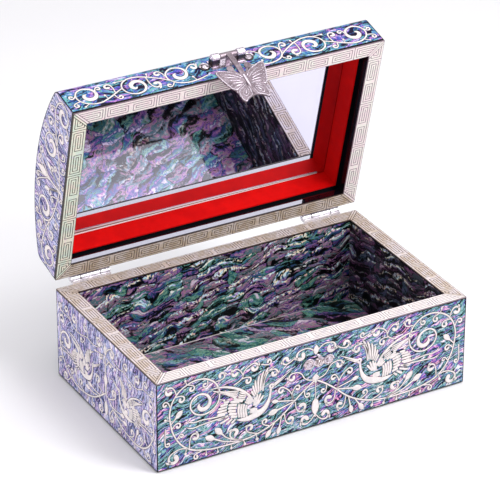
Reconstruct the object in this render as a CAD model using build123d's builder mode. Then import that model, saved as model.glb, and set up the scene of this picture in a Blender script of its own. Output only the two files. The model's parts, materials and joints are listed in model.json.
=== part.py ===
"""Lacquered jewelry box with a domed, hinged lid, a butterfly hasp and a mirror inside the lid.

The boards are mitred at the corners and lacquered black. Thin sheets of shell lie flush in shallow
recesses of every face, and strips of white shell cover the rims. The lid stands open, leaning a little
forward on its hinge stops. The origin is the centre of the underside, with +Z up and the front at -Y.
"""
from build123d import *
import math
import os

os.makedirs("parts", exist_ok=True)

# Box
BOX_WIDTH = 200.0
BOX_DEPTH = 122.0
BASE_HEIGHT = 57.0
WALL = 9.2
SKIN = 0.4  # shell sheet
BORDER = 0.5  # black lacquer line left around each shell sheet
RIM = 0.6  # white shell strip on top of the walls
FELT = 0.8
FELT_INSET = 1.6
FLOOR_TOP = 3.6

# Lid, in its own frame: Z from its rim towards its crown, Y towards its hinges
LID_SET_IN = 0.3  # the closed lid stands this far inside the base all round
LID_GAP = 0.4  # between the two rims when the lid is closed
LID_OPEN = 76.0
LID_WALL = 9.0
CROWN_EDGE = 22.5
CROWN_RADIUS = 139.0
CROWN_CORNER = 5.0
LID_BAND = 1.6  # bare lacquer between the rim and the shell outside
MIRROR_LEVEL = 19.8
MIRROR_T = 2.0
BACKING_T = 1.2
BACKING_WIDTH = 172.0
BACKING_DEPTH = 92.0
HOLLOW_WIDTH = 160.0
HOLLOW_DEPTH = 72.0
HOLLOW_TOP = 31.5
LIP = 6.8  # bare lacquer below the red lining
LIP_STEP = 1.8  # the boards are this much thicker above the lip
LINING_T = 0.8

# Hinges
HINGE_BEHIND = 3.2  # hinge axis behind the back face
HINGE_ABOVE = 1.8  # hinge axis above the base rim
HINGE_X = 77.0
HINGE_LENGTH = 25.0
OUTER_KNUCKLE = 6.0
KNUCKLE_GAP = 0.15
KNUCKLE_R = 1.9
HINGE_PIN_R = 0.9
HINGE_PIN_END = 0.3
LEAF_T = 0.9
LEAF_HEIGHT = 11.0
LEAF_CORNER = 1.0
LEAF_CLEAR = 0.2
NECK_T = 0.9
HEEL_DEPTH = 3.2
HEEL_GAP = 0.05
TIGHT = 0.02  # radial room round a fixed pin or nail
RUNNING = 0.05  # radial room round a turning pin
HINGE_NAIL_X = (-8.5, 0.0, 8.5)
HINGE_NAIL_FROM_AXIS = 8.0

# Round-headed brads
BRAD_R = 0.65
BRAD_HEAD_R = 1.3
BRAD_HEAD = 0.6
BRAD_HEAD_ROUND = 0.48
BRAD_LENGTH = 6.0

# Latch on the lid and catch on the base
LATCH_X = 2.5
LATCH_Z = 12.8  # above the lid's rim
LATCH_PLATE = 0.6
LATCH_PLATE_HEIGHT = 8.3
EYELET_R = 3.2
LATCH_EYELET_X = 14.0
PIVOT_OUT = 5.5  # latch pin in front of the lid's face
EAR_R = 2.3
EAR_X = 8.15
EAR_WIDTH = 5.5
EAR_ROUND = 0.9
LATCH_PIN_R = 0.8
LATCH_PIN_END = 0.4
BARREL_R = 1.75
BARREL_LENGTH = 10.4
HASP_T = 0.9
STRAP_OUT = 0.75  # the strap's inner face in front of the pin's axis
STRAP_WIDTH = 3.2
STRAP_LENGTH = 12.5
STRAP_TILT = 2.0
BUTTERFLY_TILT = 11.5
TAIL_WIDTH = 2.6
TAIL_BELOW = 1.1
TAIL_CLEAR = 0.05
CATCH_BELOW_RIM = 15.0
CATCH_PLATE = 0.5
CATCH_EYELET_X = 6.1
CATCH_STUD_R = 1.6
CATCH_STUD_OUT = 1.6
CATCH_STUD_ROUND = 0.9

# Butterfly, right half, from the bend in the strap
BODY_TOP = (1.2, -7.4)
WING_TIP = (15.4, -0.5)
WAIST = (9.9, -15.8)
LOBE_TIP = (7.5, -25.3)
NOTCH = (1.0, -21.8)
ANTENNA_TIP = (5.6, -0.6)
ANTENNA_BALL_R = 2.1
ANTENNA_WIDTH = 1.2

# Sizes that follow from the ones above
LID_WIDTH = BOX_WIDTH - 2 * LID_SET_IN
LID_DEPTH = BOX_DEPTH - 2 * LID_SET_IN
LID_HALF = LID_DEPTH / 2
CROWN_TOP = CROWN_EDGE + CROWN_RADIUS - math.sqrt(CROWN_RADIUS**2 - LID_HALF**2)
HINGE_Y = BOX_DEPTH / 2 + HINGE_BEHIND
HINGE_Z = BASE_HEIGHT + HINGE_ABOVE
LID_RIM_CLOSED = BASE_HEIGHT + LID_GAP
HINGE_LID_Z = HINGE_Z - LID_RIM_CLOSED
SIDES = ("front", "back", "left", "right")

BASE_FRAME = Location((0, 0, 0))
LID_FRAME = (
    Location((0, HINGE_Y, HINGE_Z))
    * Location((0, 0, 0), (-LID_OPEN, 0, 0))
    * Location((0, -HINGE_Y, -HINGE_LID_Z))
)


def level(frame, height):
    """Plane parallel to the rim, at a height in the frame."""
    return Plane(frame).offset(height)


def section(frame, x):
    """Plane across the box at x, drawn in the frame's Y and Z."""
    return Plane(frame * Plane.YZ.location).offset(x)


def face(frame, side, width, depth):
    """Outer face of one side, drawn upright with its normal outwards."""
    places = {
        "front": Plane(origin=(0, -depth / 2, 0), x_dir=(1, 0, 0), z_dir=(0, -1, 0)),
        "back": Plane(origin=(0, depth / 2, 0), x_dir=(-1, 0, 0), z_dir=(0, 1, 0)),
        "left": Plane(origin=(-width / 2, 0, 0), x_dir=(0, -1, 0), z_dir=(-1, 0, 0)),
        "right": Plane(origin=(width / 2, 0, 0), x_dir=(0, 1, 0), z_dir=(1, 0, 0)),
    }
    return Plane(frame * places[side].location)


def side_length(side, width, depth):
    return width if side in ("front", "back") else depth


def mitred_corners(side, width, depth, thickness):
    """Plan of one side of a frame whose corners are cut at 45 degrees."""
    outer_x, outer_y = width / 2, depth / 2
    inner_x, inner_y = outer_x - thickness, outer_y - thickness
    if side in ("front", "back"):
        s = -1 if side == "front" else 1
        outer, inner = s * outer_y, s * inner_y
        return [(-outer_x, outer), (outer_x, outer), (inner_x, inner), (-inner_x, inner)]
    s = -1 if side == "left" else 1
    outer, inner = s * outer_x, s * inner_x
    return [(outer, -outer_y), (outer, outer_y), (inner, inner_y), (inner, -inner_y)]


def mitred_bar(frame, side, width, depth, thickness, low, high):
    """One side of a mitred frame, from one height to another."""
    with BuildPart() as bar:
        with BuildSketch(level(frame, low)):
            with BuildLine():
                Polyline(*mitred_corners(side, width, depth, thickness), close=True)
            make_face()
        extrude(amount=high - low)
    return bar


def save(piece, name):
    piece.part.label = name
    export_step(piece.part, f"parts/{name}.step")


def crown_outline(inset=0.0):
    """Sketch of the lid's end: straight front and back, rounded shoulders and a shallow arch."""
    with BuildSketch() as outline:
        with BuildLine():
            Line((-LID_HALF, 0), (-LID_HALF, CROWN_EDGE))
            ThreePointArc((-LID_HALF, CROWN_EDGE), (0, CROWN_TOP), (LID_HALF, CROWN_EDGE))
            Line((LID_HALF, CROWN_EDGE), (LID_HALF, 0))
            Line((LID_HALF, 0), (-LID_HALF, 0))
        make_face()
        fillet(outline.vertices().group_by(Axis.Y)[-1], radius=CROWN_CORNER)
        if inset:
            offset(amount=-inset, kind=Kind.INTERSECTION, mode=Mode.REPLACE)
    return outline.sketch


def brads(plane, places, seat):
    """Round-headed nails in the holes of a face, their heads on a plate of thickness seat."""
    with BuildPart() as nails:
        with BuildSketch(plane.offset(-BRAD_LENGTH)):
            with Locations(*places):
                Circle(BRAD_R)
        extrude(amount=BRAD_LENGTH + seat)
        with BuildSketch(plane.offset(seat)):
            with Locations(*places):
                Circle(BRAD_HEAD_R)
        extrude(amount=BRAD_HEAD)
        rims = nails.edges().filter_by(GeomType.CIRCLE).filter_by(lambda e: e.radius > BRAD_R + TIGHT)
        top = rims.sort_by(lambda e: plane.to_local_coords(e.center()).Z)[-len(places):]
        fillet(top, radius=BRAD_HEAD_ROUND)
    return nails


# Brad places, each in the drawing of the face that it is driven into
HINGE_BRAD_X = [s * HINGE_X + x for s in (-1, 1) for x in HINGE_NAIL_X]
LEAF_BRADS_LOW = [(x, HINGE_Z - HINGE_NAIL_FROM_AXIS) for x in HINGE_BRAD_X]
LEAF_BRADS_HIGH = [(x, HINGE_LID_Z + HINGE_NAIL_FROM_AXIS) for x in HINGE_BRAD_X]
LATCH_BRADS = [(LATCH_X - LATCH_EYELET_X, LATCH_Z), (LATCH_X + LATCH_EYELET_X, LATCH_Z)]
CATCH_Z = BASE_HEIGHT - CATCH_BELOW_RIM
CATCH_BRADS = [(LATCH_X - CATCH_EYELET_X, CATCH_Z), (LATCH_X + CATCH_EYELET_X, CATCH_Z)]

base_low, base_high = FELT, BASE_HEIGHT - RIM
skin_low, skin_high = base_low + BORDER, base_high - BORDER
inner_width, inner_depth = BOX_WIDTH - 2 * WALL, BOX_DEPTH - 2 * WALL
lining_width, lining_depth = inner_width + 2 * SKIN, inner_depth + 2 * SKIN


def fixing_holes(side, frame_places, width, depth, frame, reach):
    """Pilot holes in whatever part is being built, from the outer face inwards."""
    with BuildSketch(face(frame, side, width, depth)) as holes:
        with Locations(*frame_places):
            Circle(BRAD_R + TIGHT)
    extrude(holes.sketch, amount=-reach, mode=Mode.SUBTRACT)


# Base: four boards, mitred, with shallow recesses for the shell outside and inside
for side in SIDES:
    plane = face(BASE_FRAME, side, BOX_WIDTH, BOX_DEPTH)
    length = side_length(side, BOX_WIDTH, BOX_DEPTH)

    with BuildPart() as board:
        with BuildSketch(level(BASE_FRAME, base_low)):
            with BuildLine():
                Polyline(*mitred_corners(side, BOX_WIDTH, BOX_DEPTH, WALL), close=True)
            make_face()
        extrude(amount=base_high - base_low)
        with BuildSketch(plane):
            with Locations((0, (skin_low + skin_high) / 2)):
                Rectangle(length - 2 * BORDER, skin_high - skin_low)
        extrude(amount=-SKIN, mode=Mode.SUBTRACT)
        with BuildSketch(level(BASE_FRAME, FLOOR_TOP)):
            Rectangle(lining_width, lining_depth)
        extrude(amount=skin_high - FLOOR_TOP, mode=Mode.SUBTRACT)
        if side == "back":
            fixing_holes(side, LEAF_BRADS_LOW, BOX_WIDTH, BOX_DEPTH, BASE_FRAME, BRAD_LENGTH)
        if side == "front":
            fixing_holes(side, CATCH_BRADS, BOX_WIDTH, BOX_DEPTH, BASE_FRAME, BRAD_LENGTH)
            fixing_holes(side, [(LATCH_X, CATCH_Z)], BOX_WIDTH, BOX_DEPTH, BASE_FRAME, BRAD_LENGTH)
    save(board, f"base_{side}_board")

    with BuildPart() as skin:
        with BuildSketch(plane):
            with Locations((0, (skin_low + skin_high) / 2)):
                Rectangle(length - 2 * BORDER, skin_high - skin_low)
        extrude(amount=-SKIN)
        if side == "back":
            fixing_holes(side, LEAF_BRADS_LOW, BOX_WIDTH, BOX_DEPTH, BASE_FRAME, SKIN)
        if side == "front":
            fixing_holes(side, CATCH_BRADS, BOX_WIDTH, BOX_DEPTH, BASE_FRAME, SKIN)
            fixing_holes(side, [(LATCH_X, CATCH_Z)], BOX_WIDTH, BOX_DEPTH, BASE_FRAME, SKIN)
    save(skin, f"base_{side}_shell")

    lining = mitred_bar(BASE_FRAME, side, lining_width, lining_depth, SKIN, FLOOR_TOP, skin_high)
    save(lining, f"base_{side}_inner_shell")

    rim = mitred_bar(BASE_FRAME, side, BOX_WIDTH, BOX_DEPTH, WALL, base_high, BASE_HEIGHT)
    save(rim, f"base_{side}_rim")

with BuildPart() as bottom_board:
    with BuildSketch(level(BASE_FRAME, base_low)):
        Rectangle(inner_width, inner_depth)
    extrude(amount=FLOOR_TOP - SKIN - base_low)
save(bottom_board, "base_bottom_board")

with BuildPart() as floor_shell:
    with BuildSketch(level(BASE_FRAME, FLOOR_TOP - SKIN)):
        Rectangle(inner_width, inner_depth)
    extrude(amount=SKIN)
save(floor_shell, "base_floor_shell")

with BuildPart() as felt:
    with BuildSketch():
        RectangleRounded(BOX_WIDTH - 2 * FELT_INSET, BOX_DEPTH - 2 * FELT_INSET, 2 * FELT_INSET)
    extrude(amount=FELT)
save(felt, "base_felt")

# Lid: end outline, shell sheets, then the boards around them
outline = crown_outline()
skin_outline = crown_outline(SKIN)
shoulder_z = CROWN_EDGE - CROWN_CORNER * math.tan(
    (math.pi / 2 - math.asin(LID_HALF / CROWN_RADIUS)) / 2
)  # where the front and back stop being flat
lid_skin_low = RIM + LID_BAND
skin_reach = LID_WIDTH / 2 - BORDER
lid_inner_width, lid_inner_depth = LID_WIDTH - 2 * LID_WALL, LID_DEPTH - 2 * LID_WALL
lined_width, lined_depth = lid_inner_width - 2 * LIP_STEP, lid_inner_depth - 2 * LIP_STEP

with BuildPart() as crown_shell:
    with BuildSketch(section(LID_FRAME, 0)):
        add(outline)
        add(skin_outline, mode=Mode.SUBTRACT)
        with Locations((0, shoulder_z - BOX_DEPTH)):
            Rectangle(2 * BOX_DEPTH, 2 * BOX_DEPTH, mode=Mode.SUBTRACT)
    extrude(amount=skin_reach, both=True)
save(crown_shell, "lid_crown_shell")

flat_shells = {}
for side in ("front", "back"):
    with BuildPart() as skin:
        with BuildSketch(face(LID_FRAME, side, LID_WIDTH, LID_DEPTH)):
            with Locations((0, (lid_skin_low + shoulder_z) / 2)):
                Rectangle(2 * skin_reach, shoulder_z - lid_skin_low)
        extrude(amount=-SKIN)
        if side == "back":
            fixing_holes(side, LEAF_BRADS_HIGH, LID_WIDTH, LID_DEPTH, LID_FRAME, SKIN)
        else:
            fixing_holes(side, LATCH_BRADS, LID_WIDTH, LID_DEPTH, LID_FRAME, SKIN)
    flat_shells[side] = skin
    save(skin, f"lid_{side}_shell")

for side, x in (("left", -LID_WIDTH / 2), ("right", LID_WIDTH / 2 - SKIN)):
    with BuildPart() as skin:
        with BuildSketch(section(LID_FRAME, x)):
            add(crown_outline(BORDER))
            with Locations((0, lid_skin_low / 2)):
                Rectangle(LID_DEPTH, lid_skin_low, mode=Mode.SUBTRACT)
        extrude(amount=SKIN)
    flat_shells[side] = skin
    save(skin, f"lid_{side}_shell")

for side in SIDES:
    with BuildPart() as board:
        with BuildSketch(level(LID_FRAME, RIM)):
            with BuildLine():
                Polyline(*mitred_corners(side, LID_WIDTH, LID_DEPTH, LID_WALL), close=True)
            make_face()
        extrude(amount=MIRROR_LEVEL - RIM)
        with BuildSketch(level(LID_FRAME, LIP)):
            with BuildLine():
                Polyline(*mitred_corners(side, LID_WIDTH, LID_DEPTH, LID_WALL + LIP_STEP), close=True)
            make_face()
        extrude(amount=MIRROR_LEVEL - LIP)
        with BuildSketch(section(LID_FRAME, 0)):
            add(outline)
        extrude(amount=LID_WIDTH, both=True, mode=Mode.INTERSECT)
        add(flat_shells[side].part, mode=Mode.SUBTRACT)
        add(crown_shell.part, mode=Mode.SUBTRACT)
        if side == "back":
            fixing_holes(side, LEAF_BRADS_HIGH, LID_WIDTH, LID_DEPTH, LID_FRAME, BRAD_LENGTH)
        if side == "front":
            fixing_holes(side, LATCH_BRADS, LID_WIDTH, LID_DEPTH, LID_FRAME, BRAD_LENGTH)
    save(board, f"lid_{side}_board")

    rim = mitred_bar(LID_FRAME, side, LID_WIDTH, LID_DEPTH, LID_WALL, 0, RIM)
    save(rim, f"lid_{side}_rim")

    lining = mitred_bar(LID_FRAME, side, lined_width, lined_depth, LINING_T, LIP, MIRROR_LEVEL)
    save(lining, f"lid_{side}_lining")

backing_top = MIRROR_LEVEL + MIRROR_T + BACKING_T
with BuildPart() as crown_board:
    with BuildSketch(section(LID_FRAME, 0)):
        add(outline)
        with Locations((0, MIRROR_LEVEL - BOX_DEPTH)):
            Rectangle(2 * BOX_DEPTH, 2 * BOX_DEPTH, mode=Mode.SUBTRACT)
    extrude(amount=LID_WIDTH / 2, both=True)
    add(crown_shell.part, mode=Mode.SUBTRACT)
    add(flat_shells["left"].part, mode=Mode.SUBTRACT)
    add(flat_shells["right"].part, mode=Mode.SUBTRACT)
    with BuildSketch(level(LID_FRAME, MIRROR_LEVEL)):
        Rectangle(lid_inner_width, lid_inner_depth)
    extrude(amount=MIRROR_T, mode=Mode.SUBTRACT)
    with BuildSketch(level(LID_FRAME, MIRROR_LEVEL + MIRROR_T)):
        Rectangle(BACKING_WIDTH, BACKING_DEPTH)
    extrude(amount=BACKING_T, mode=Mode.SUBTRACT)
    with BuildSketch(section(LID_FRAME, 0)):
        with BuildLine():
            hollow = HOLLOW_DEPTH / 2
            Line((-hollow, backing_top), (hollow, backing_top))
            ThreePointArc((hollow, backing_top), (0, HOLLOW_TOP), (-hollow, backing_top))
        make_face()
    extrude(amount=HOLLOW_WIDTH / 2, both=True, mode=Mode.SUBTRACT)
save(crown_board, "lid_crown_board")

with BuildPart() as mirror_glass:
    with BuildSketch(level(LID_FRAME, MIRROR_LEVEL)):
        Rectangle(lid_inner_width, lid_inner_depth)
    extrude(amount=MIRROR_T)
save(mirror_glass, "mirror_glass")

with BuildPart() as backing:
    with BuildSketch(level(LID_FRAME, MIRROR_LEVEL + MIRROR_T)):
        Rectangle(BACKING_WIDTH, BACKING_DEPTH)
    extrude(amount=BACKING_T)
save(backing, "mirror_backing_card")

# Hinges: the leaves lie on the two back faces and carry the knuckles behind them
neck_from = KNUCKLE_R - NECK_T
middle_knuckle = HINGE_LENGTH - 2 * OUTER_KNUCKLE - 2 * KNUCKLE_GAP
lid_back = LID_DEPTH / 2
for name, hinge_x in (("left", -HINGE_X), ("right", HINGE_X)):
    with BuildPart() as lower_leaf:
        with BuildSketch(face(BASE_FRAME, "back", BOX_WIDTH, BOX_DEPTH)):
            with Locations((-hinge_x, HINGE_Z - LEAF_CLEAR - (LEAF_HEIGHT + HINGE_ABOVE) / 2)):
                RectangleRounded(HINGE_LENGTH, LEAF_HEIGHT + HINGE_ABOVE, LEAF_CORNER)
        extrude(amount=LEAF_T)
        for start in (hinge_x - HINGE_LENGTH / 2, hinge_x + HINGE_LENGTH / 2 - OUTER_KNUCKLE):
            with BuildSketch(section(BASE_FRAME, start)):
                with Locations((HINGE_Y, HINGE_Z)):
                    Circle(KNUCKLE_R)
                    with Locations((-HINGE_BEHIND / 2, -neck_from - NECK_T / 2)):
                        Rectangle(HINGE_BEHIND, NECK_T)
                    Circle(HINGE_PIN_R + TIGHT, mode=Mode.SUBTRACT)
            extrude(amount=OUTER_KNUCKLE)
        with BuildSketch(face(BASE_FRAME, "back", BOX_WIDTH, BOX_DEPTH)):
            with Locations(*LEAF_BRADS_LOW):
                Circle(BRAD_R + TIGHT)
        extrude(amount=LEAF_T, mode=Mode.SUBTRACT)
    save(lower_leaf, f"{name}_hinge_lower_leaf")

    with BuildPart() as upper_leaf:
        with BuildSketch(face(LID_FRAME, "back", LID_WIDTH, LID_DEPTH)):
            with Locations((-hinge_x, HINGE_LID_Z + LEAF_CLEAR + LEAF_HEIGHT / 2)):
                RectangleRounded(HINGE_LENGTH, LEAF_HEIGHT, LEAF_CORNER)
        extrude(amount=LEAF_T)
        with BuildSketch(section(LID_FRAME, hinge_x - middle_knuckle / 2)):
            with Locations((HINGE_Y, HINGE_LID_Z)):
                Circle(KNUCKLE_R)
                with Locations(((lid_back - HINGE_Y) / 2, neck_from + NECK_T / 2)):
                    Rectangle(HINGE_Y - lid_back, NECK_T)
        extrude(amount=middle_knuckle)
        # The heel meets the lower leaf and stops the lid
        heel_front = LEAF_T - HINGE_BEHIND + HEEL_GAP
        knuckle_start = Vector(hinge_x - middle_knuckle / 2, HINGE_Y, HINGE_Z)
        with BuildSketch(Plane(origin=knuckle_start, x_dir=(0, 1, 0), z_dir=(1, 0, 0))):
            with BuildLine():
                Polyline(
                    (0, 0),
                    (heel_front, -HEEL_DEPTH / 3),
                    (heel_front, -HEEL_DEPTH),
                    (heel_front + LEAF_T, -HEEL_DEPTH),
                    close=True,
                )
            make_face()
        extrude(amount=middle_knuckle)
        with BuildSketch(section(BASE_FRAME, hinge_x - middle_knuckle / 2)):
            with Locations((HINGE_Y, HINGE_Z)):
                Circle(HINGE_PIN_R + RUNNING)
        extrude(amount=middle_knuckle, mode=Mode.SUBTRACT)
        with BuildSketch(face(LID_FRAME, "back", LID_WIDTH, LID_DEPTH)):
            with Locations(*LEAF_BRADS_HIGH):
                Circle(BRAD_R + TIGHT)
        extrude(amount=LEAF_T, mode=Mode.SUBTRACT)
    save(upper_leaf, f"{name}_hinge_upper_leaf")

    with BuildPart() as pin:
        with BuildSketch(section(BASE_FRAME, hinge_x)):
            with Locations((HINGE_Y, HINGE_Z)):
                Circle(HINGE_PIN_R)
        extrude(amount=HINGE_LENGTH / 2 + HINGE_PIN_END, both=True)
        fillet(pin.edges().filter_by(GeomType.CIRCLE), radius=HINGE_PIN_END)
    save(pin, f"{name}_hinge_pin")

save(brads(face(BASE_FRAME, "back", BOX_WIDTH, BOX_DEPTH), LEAF_BRADS_LOW, LEAF_T), "base_hinge_nails")
save(brads(face(LID_FRAME, "back", LID_WIDTH, LID_DEPTH), LEAF_BRADS_HIGH, LEAF_T), "lid_hinge_nails")

# Catch on the base front: a plate with two eyelets and a low domed stud
base_front = face(BASE_FRAME, "front", BOX_WIDTH, BOX_DEPTH)
with BuildPart() as catch_plate:
    with BuildSketch(base_front):
        with Locations(*CATCH_BRADS):
            Circle(EYELET_R)
        with Locations((LATCH_X, CATCH_Z)):
            Circle(EYELET_R)
            Rectangle(2 * CATCH_EYELET_X, EYELET_R)
        with Locations(*CATCH_BRADS, (LATCH_X, CATCH_Z)):
            Circle(BRAD_R + TIGHT, mode=Mode.SUBTRACT)
    extrude(amount=CATCH_PLATE)
save(catch_plate, "catch_plate")

with BuildPart() as catch_stud:
    with BuildSketch(base_front.offset(CATCH_PLATE)):
        with Locations((LATCH_X, CATCH_Z)):
            Circle(CATCH_STUD_R)
    extrude(amount=CATCH_STUD_OUT - CATCH_PLATE)
    top = catch_stud.edges().filter_by(GeomType.CIRCLE).sort_by(Axis.Y)[0]
    fillet(top, radius=CATCH_STUD_ROUND)
    with BuildSketch(base_front.offset(-BRAD_LENGTH)):
        with Locations((LATCH_X, CATCH_Z)):
            Circle(BRAD_R)
    extrude(amount=BRAD_LENGTH + CATCH_PLATE)
save(catch_stud, "catch_stud")
save(brads(base_front, CATCH_BRADS, CATCH_PLATE), "catch_nails")

# Latch on the lid front: a plate with two eyelets, and two ears that hold the pin
lid_front = face(LID_FRAME, "front", LID_WIDTH, LID_DEPTH)
pivot_y = -LID_HALF - PIVOT_OUT
with BuildPart() as latch_plate:
    for ear_x in (LATCH_X - EAR_X, LATCH_X + EAR_X):
        with BuildSketch(section(LID_FRAME, ear_x - EAR_WIDTH / 2)):
            with Locations((pivot_y, LATCH_Z)):
                Circle(EAR_R)
            with Locations((-LID_HALF - PIVOT_OUT / 2, LATCH_Z)):
                Rectangle(PIVOT_OUT, 2 * EAR_R)
        extrude(amount=EAR_WIDTH)
    fillet(latch_plate.edges().filter_by(GeomType.CIRCLE), radius=EAR_ROUND)
    with BuildSketch(lid_front):
        with Locations(*LATCH_BRADS):
            Circle(EYELET_R)
        with Locations((LATCH_X, LATCH_Z)):
            Rectangle(2 * LATCH_EYELET_X, EYELET_R)
            Rectangle(2 * EAR_X + EAR_WIDTH, LATCH_PLATE_HEIGHT)
        with Locations(*LATCH_BRADS):
            Circle(BRAD_R + TIGHT, mode=Mode.SUBTRACT)
    extrude(amount=LATCH_PLATE)
    with BuildSketch(section(LID_FRAME, LATCH_X)):
        with Locations((pivot_y, LATCH_Z)):
            Circle(LATCH_PIN_R + TIGHT)
    extrude(amount=2 * EAR_X, both=True, mode=Mode.SUBTRACT)
save(latch_plate, "latch_plate")
save(brads(lid_front, LATCH_BRADS, LATCH_PLATE), "latch_nails")

with BuildPart() as latch_pin:
    with BuildSketch(section(LID_FRAME, LATCH_X)):
        with Locations((pivot_y, LATCH_Z)):
            Circle(LATCH_PIN_R)
    extrude(amount=EAR_X + EAR_WIDTH / 2 + LATCH_PIN_END, both=True)
    fillet(latch_pin.edges().filter_by(GeomType.CIRCLE), radius=LATCH_PIN_END)
save(latch_pin, "latch_pin")


# Butterfly hasp: a barrel on the pin, a strap that runs down the lid, and the butterfly, leaning in
def hasp_plane(tilt, start_y, start_z):
    """Inner face of a stretch of the hasp that starts at a point of the lid's section, Y up the strap."""
    lean = math.radians(tilt)
    start = Plane(
        origin=(LATCH_X, start_y, start_z),
        x_dir=(1, 0, 0),
        z_dir=(0, -math.cos(lean), -math.sin(lean)),
    )
    return Plane(LID_FRAME * start.location)


strap_lean = math.radians(STRAP_TILT)
strap_y = pivot_y - STRAP_OUT
bend_y = strap_y + STRAP_LENGTH * math.sin(strap_lean)
bend_z = LATCH_Z - STRAP_LENGTH * math.cos(strap_lean)
strap_plane = hasp_plane(STRAP_TILT, strap_y, LATCH_Z)
butterfly_plane = hasp_plane(BUTTERFLY_TILT, bend_y, bend_z)
body_length = BODY_TOP[1] - NOTCH[1]

with BuildPart() as hasp:
    with BuildSketch(section(LID_FRAME, LATCH_X - BARREL_LENGTH / 2)):
        with Locations((pivot_y, LATCH_Z)):
            Circle(BARREL_R)
    extrude(amount=BARREL_LENGTH)
    with BuildSketch(strap_plane):
        with Locations((0, -(STRAP_LENGTH + HASP_T / 4) / 2)):
            Rectangle(STRAP_WIDTH, STRAP_LENGTH + HASP_T / 4)
    extrude(amount=HASP_T)
    with BuildSketch(butterfly_plane):
        with BuildLine():
            Line((0, BODY_TOP[1]), BODY_TOP)
            Spline(BODY_TOP, (4.2, -4.0), (9.4, -1.4), WING_TIP)
            Spline(WING_TIP, (14.6, -5.5), (12.9, -10.5), WAIST)
            Spline(WAIST, (9.2, -18.2), (9.1, -21.6), LOBE_TIP)
            Spline(LOBE_TIP, (5.0, -23.4), NOTCH)
            Line(NOTCH, (0, NOTCH[1]))
            mirror(about=Plane.YZ)
        make_face()
        with Locations((0, (BODY_TOP[1] + HASP_T) / 2)):
            Rectangle(STRAP_WIDTH, HASP_T - BODY_TOP[1])
        with Locations((-ANTENNA_TIP[0], ANTENNA_TIP[1]), ANTENNA_TIP):
            Circle(ANTENNA_BALL_R)
        for s in (-1, 1):
            with BuildLine():
                Line((s * BODY_TOP[0] / 2, BODY_TOP[1] - HASP_T), (s * ANTENNA_TIP[0], ANTENNA_TIP[1]))
            trace(line_width=ANTENNA_WIDTH)
    extrude(amount=HASP_T)
    with BuildSketch(butterfly_plane.offset(HASP_T / 2)):
        with Locations((0, BODY_TOP[1] - body_length / 2)):
            Ellipse(BODY_TOP[0], body_length / 2 - HASP_T)
    extrude(amount=HASP_T)
    # The tail meets the latch plate and stops the hasp
    tail = PIVOT_OUT - LATCH_PLATE - TAIL_CLEAR
    with BuildSketch(section(LID_FRAME, LATCH_X - TAIL_WIDTH / 2)):
        with Locations((pivot_y + tail / 2, LATCH_Z - TAIL_BELOW)):
            Rectangle(tail, HASP_T)
    extrude(amount=TAIL_WIDTH)
    with BuildSketch(section(LID_FRAME, LATCH_X)):
        with Locations((pivot_y, LATCH_Z)):
            Circle(LATCH_PIN_R + RUNNING)
    extrude(amount=BARREL_LENGTH, both=True, mode=Mode.SUBTRACT)
save(hasp, "butterfly_hasp")
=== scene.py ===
"""Lacquer jewelry box with its lid open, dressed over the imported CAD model.

Drawings are in millimetres on the face they lie on. A stand is the matrix that carries
millimetres in a part's own axes to metres in the shared frame.
"""

import json
from math import acos, atan2, cos, pi, radians, sin

import bmesh
import bpy
from mathutils import Matrix, Vector


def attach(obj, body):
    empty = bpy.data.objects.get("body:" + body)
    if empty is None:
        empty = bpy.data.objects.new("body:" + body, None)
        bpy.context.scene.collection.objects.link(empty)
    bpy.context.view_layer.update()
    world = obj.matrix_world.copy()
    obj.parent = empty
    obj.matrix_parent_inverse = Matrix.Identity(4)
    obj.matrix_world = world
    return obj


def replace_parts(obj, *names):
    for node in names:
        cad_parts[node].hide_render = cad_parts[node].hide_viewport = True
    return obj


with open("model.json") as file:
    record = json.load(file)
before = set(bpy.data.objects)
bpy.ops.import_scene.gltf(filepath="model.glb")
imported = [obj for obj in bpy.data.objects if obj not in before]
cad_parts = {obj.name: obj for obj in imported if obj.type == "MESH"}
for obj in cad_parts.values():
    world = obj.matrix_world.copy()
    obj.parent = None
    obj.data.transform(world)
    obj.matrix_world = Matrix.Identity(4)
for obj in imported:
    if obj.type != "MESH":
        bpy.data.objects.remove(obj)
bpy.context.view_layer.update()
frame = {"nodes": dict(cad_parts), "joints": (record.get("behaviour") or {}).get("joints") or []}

MM = 0.001

# Places of the base, the lid and the butterfly
HINGE_ABOVE_LID_RIM = 1.4
CROWN_RADIUS = 139.0
CROWN_CENTRE_Z = -102.55
HASP_BEND_Y = -66.514
HASP_BEND_Z = 0.308
HASP_TILT = 11.5
HASP_METAL = 0.9
HINGE_X = 77.0
KNUCKLE_JOINT = 6.42
KNUCKLE_R = 1.9
# Width of the painted shade in the hinge joints and on the leaf round the barrel
JOINT_SHADE_BAND = 0.4
LATCH_X = 2.5
LATCH_Z = 12.8
LATCH_EYELET_X = 14.0
EYELET_FROM = 11.0
LATCH_METAL = 0.6
CATCH_Z = 42.0
CATCH_EYELET_X = 6.1
CATCH_METAL = 0.5

# Polished band of the lid's bare lip: its heights above the rim, and its distance from the back face
LIP_LOW = 1.0
LIP_HIGH = 6.6
LIP_FROM_BACK = 6.0

# How far inlay stands above its face, how deep its foot is let in, and how near corners are joined
INLAY_PROUD = 0.14
INLAY_FOOT = 0.06
SAME_SPOT = 0.002

# Lines of the inlay, half widths
VINE = 0.50
STEM = 0.38
HAIR = 0.28

# Dark line round every inlaid shape: partly the engraved lines between its parts, partly painted shadow
# round its edges
EDGE_LINE = 0.24
EDGE_PROUD = 0.05


def joint(name):
    return next(j for j in frame["joints"] if j["name"] == name)


hinge = Vector(joint("lid_hinge")["pos_m"])
lid_open = radians(joint("lid_hinge")["range_deg"][1])

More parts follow.
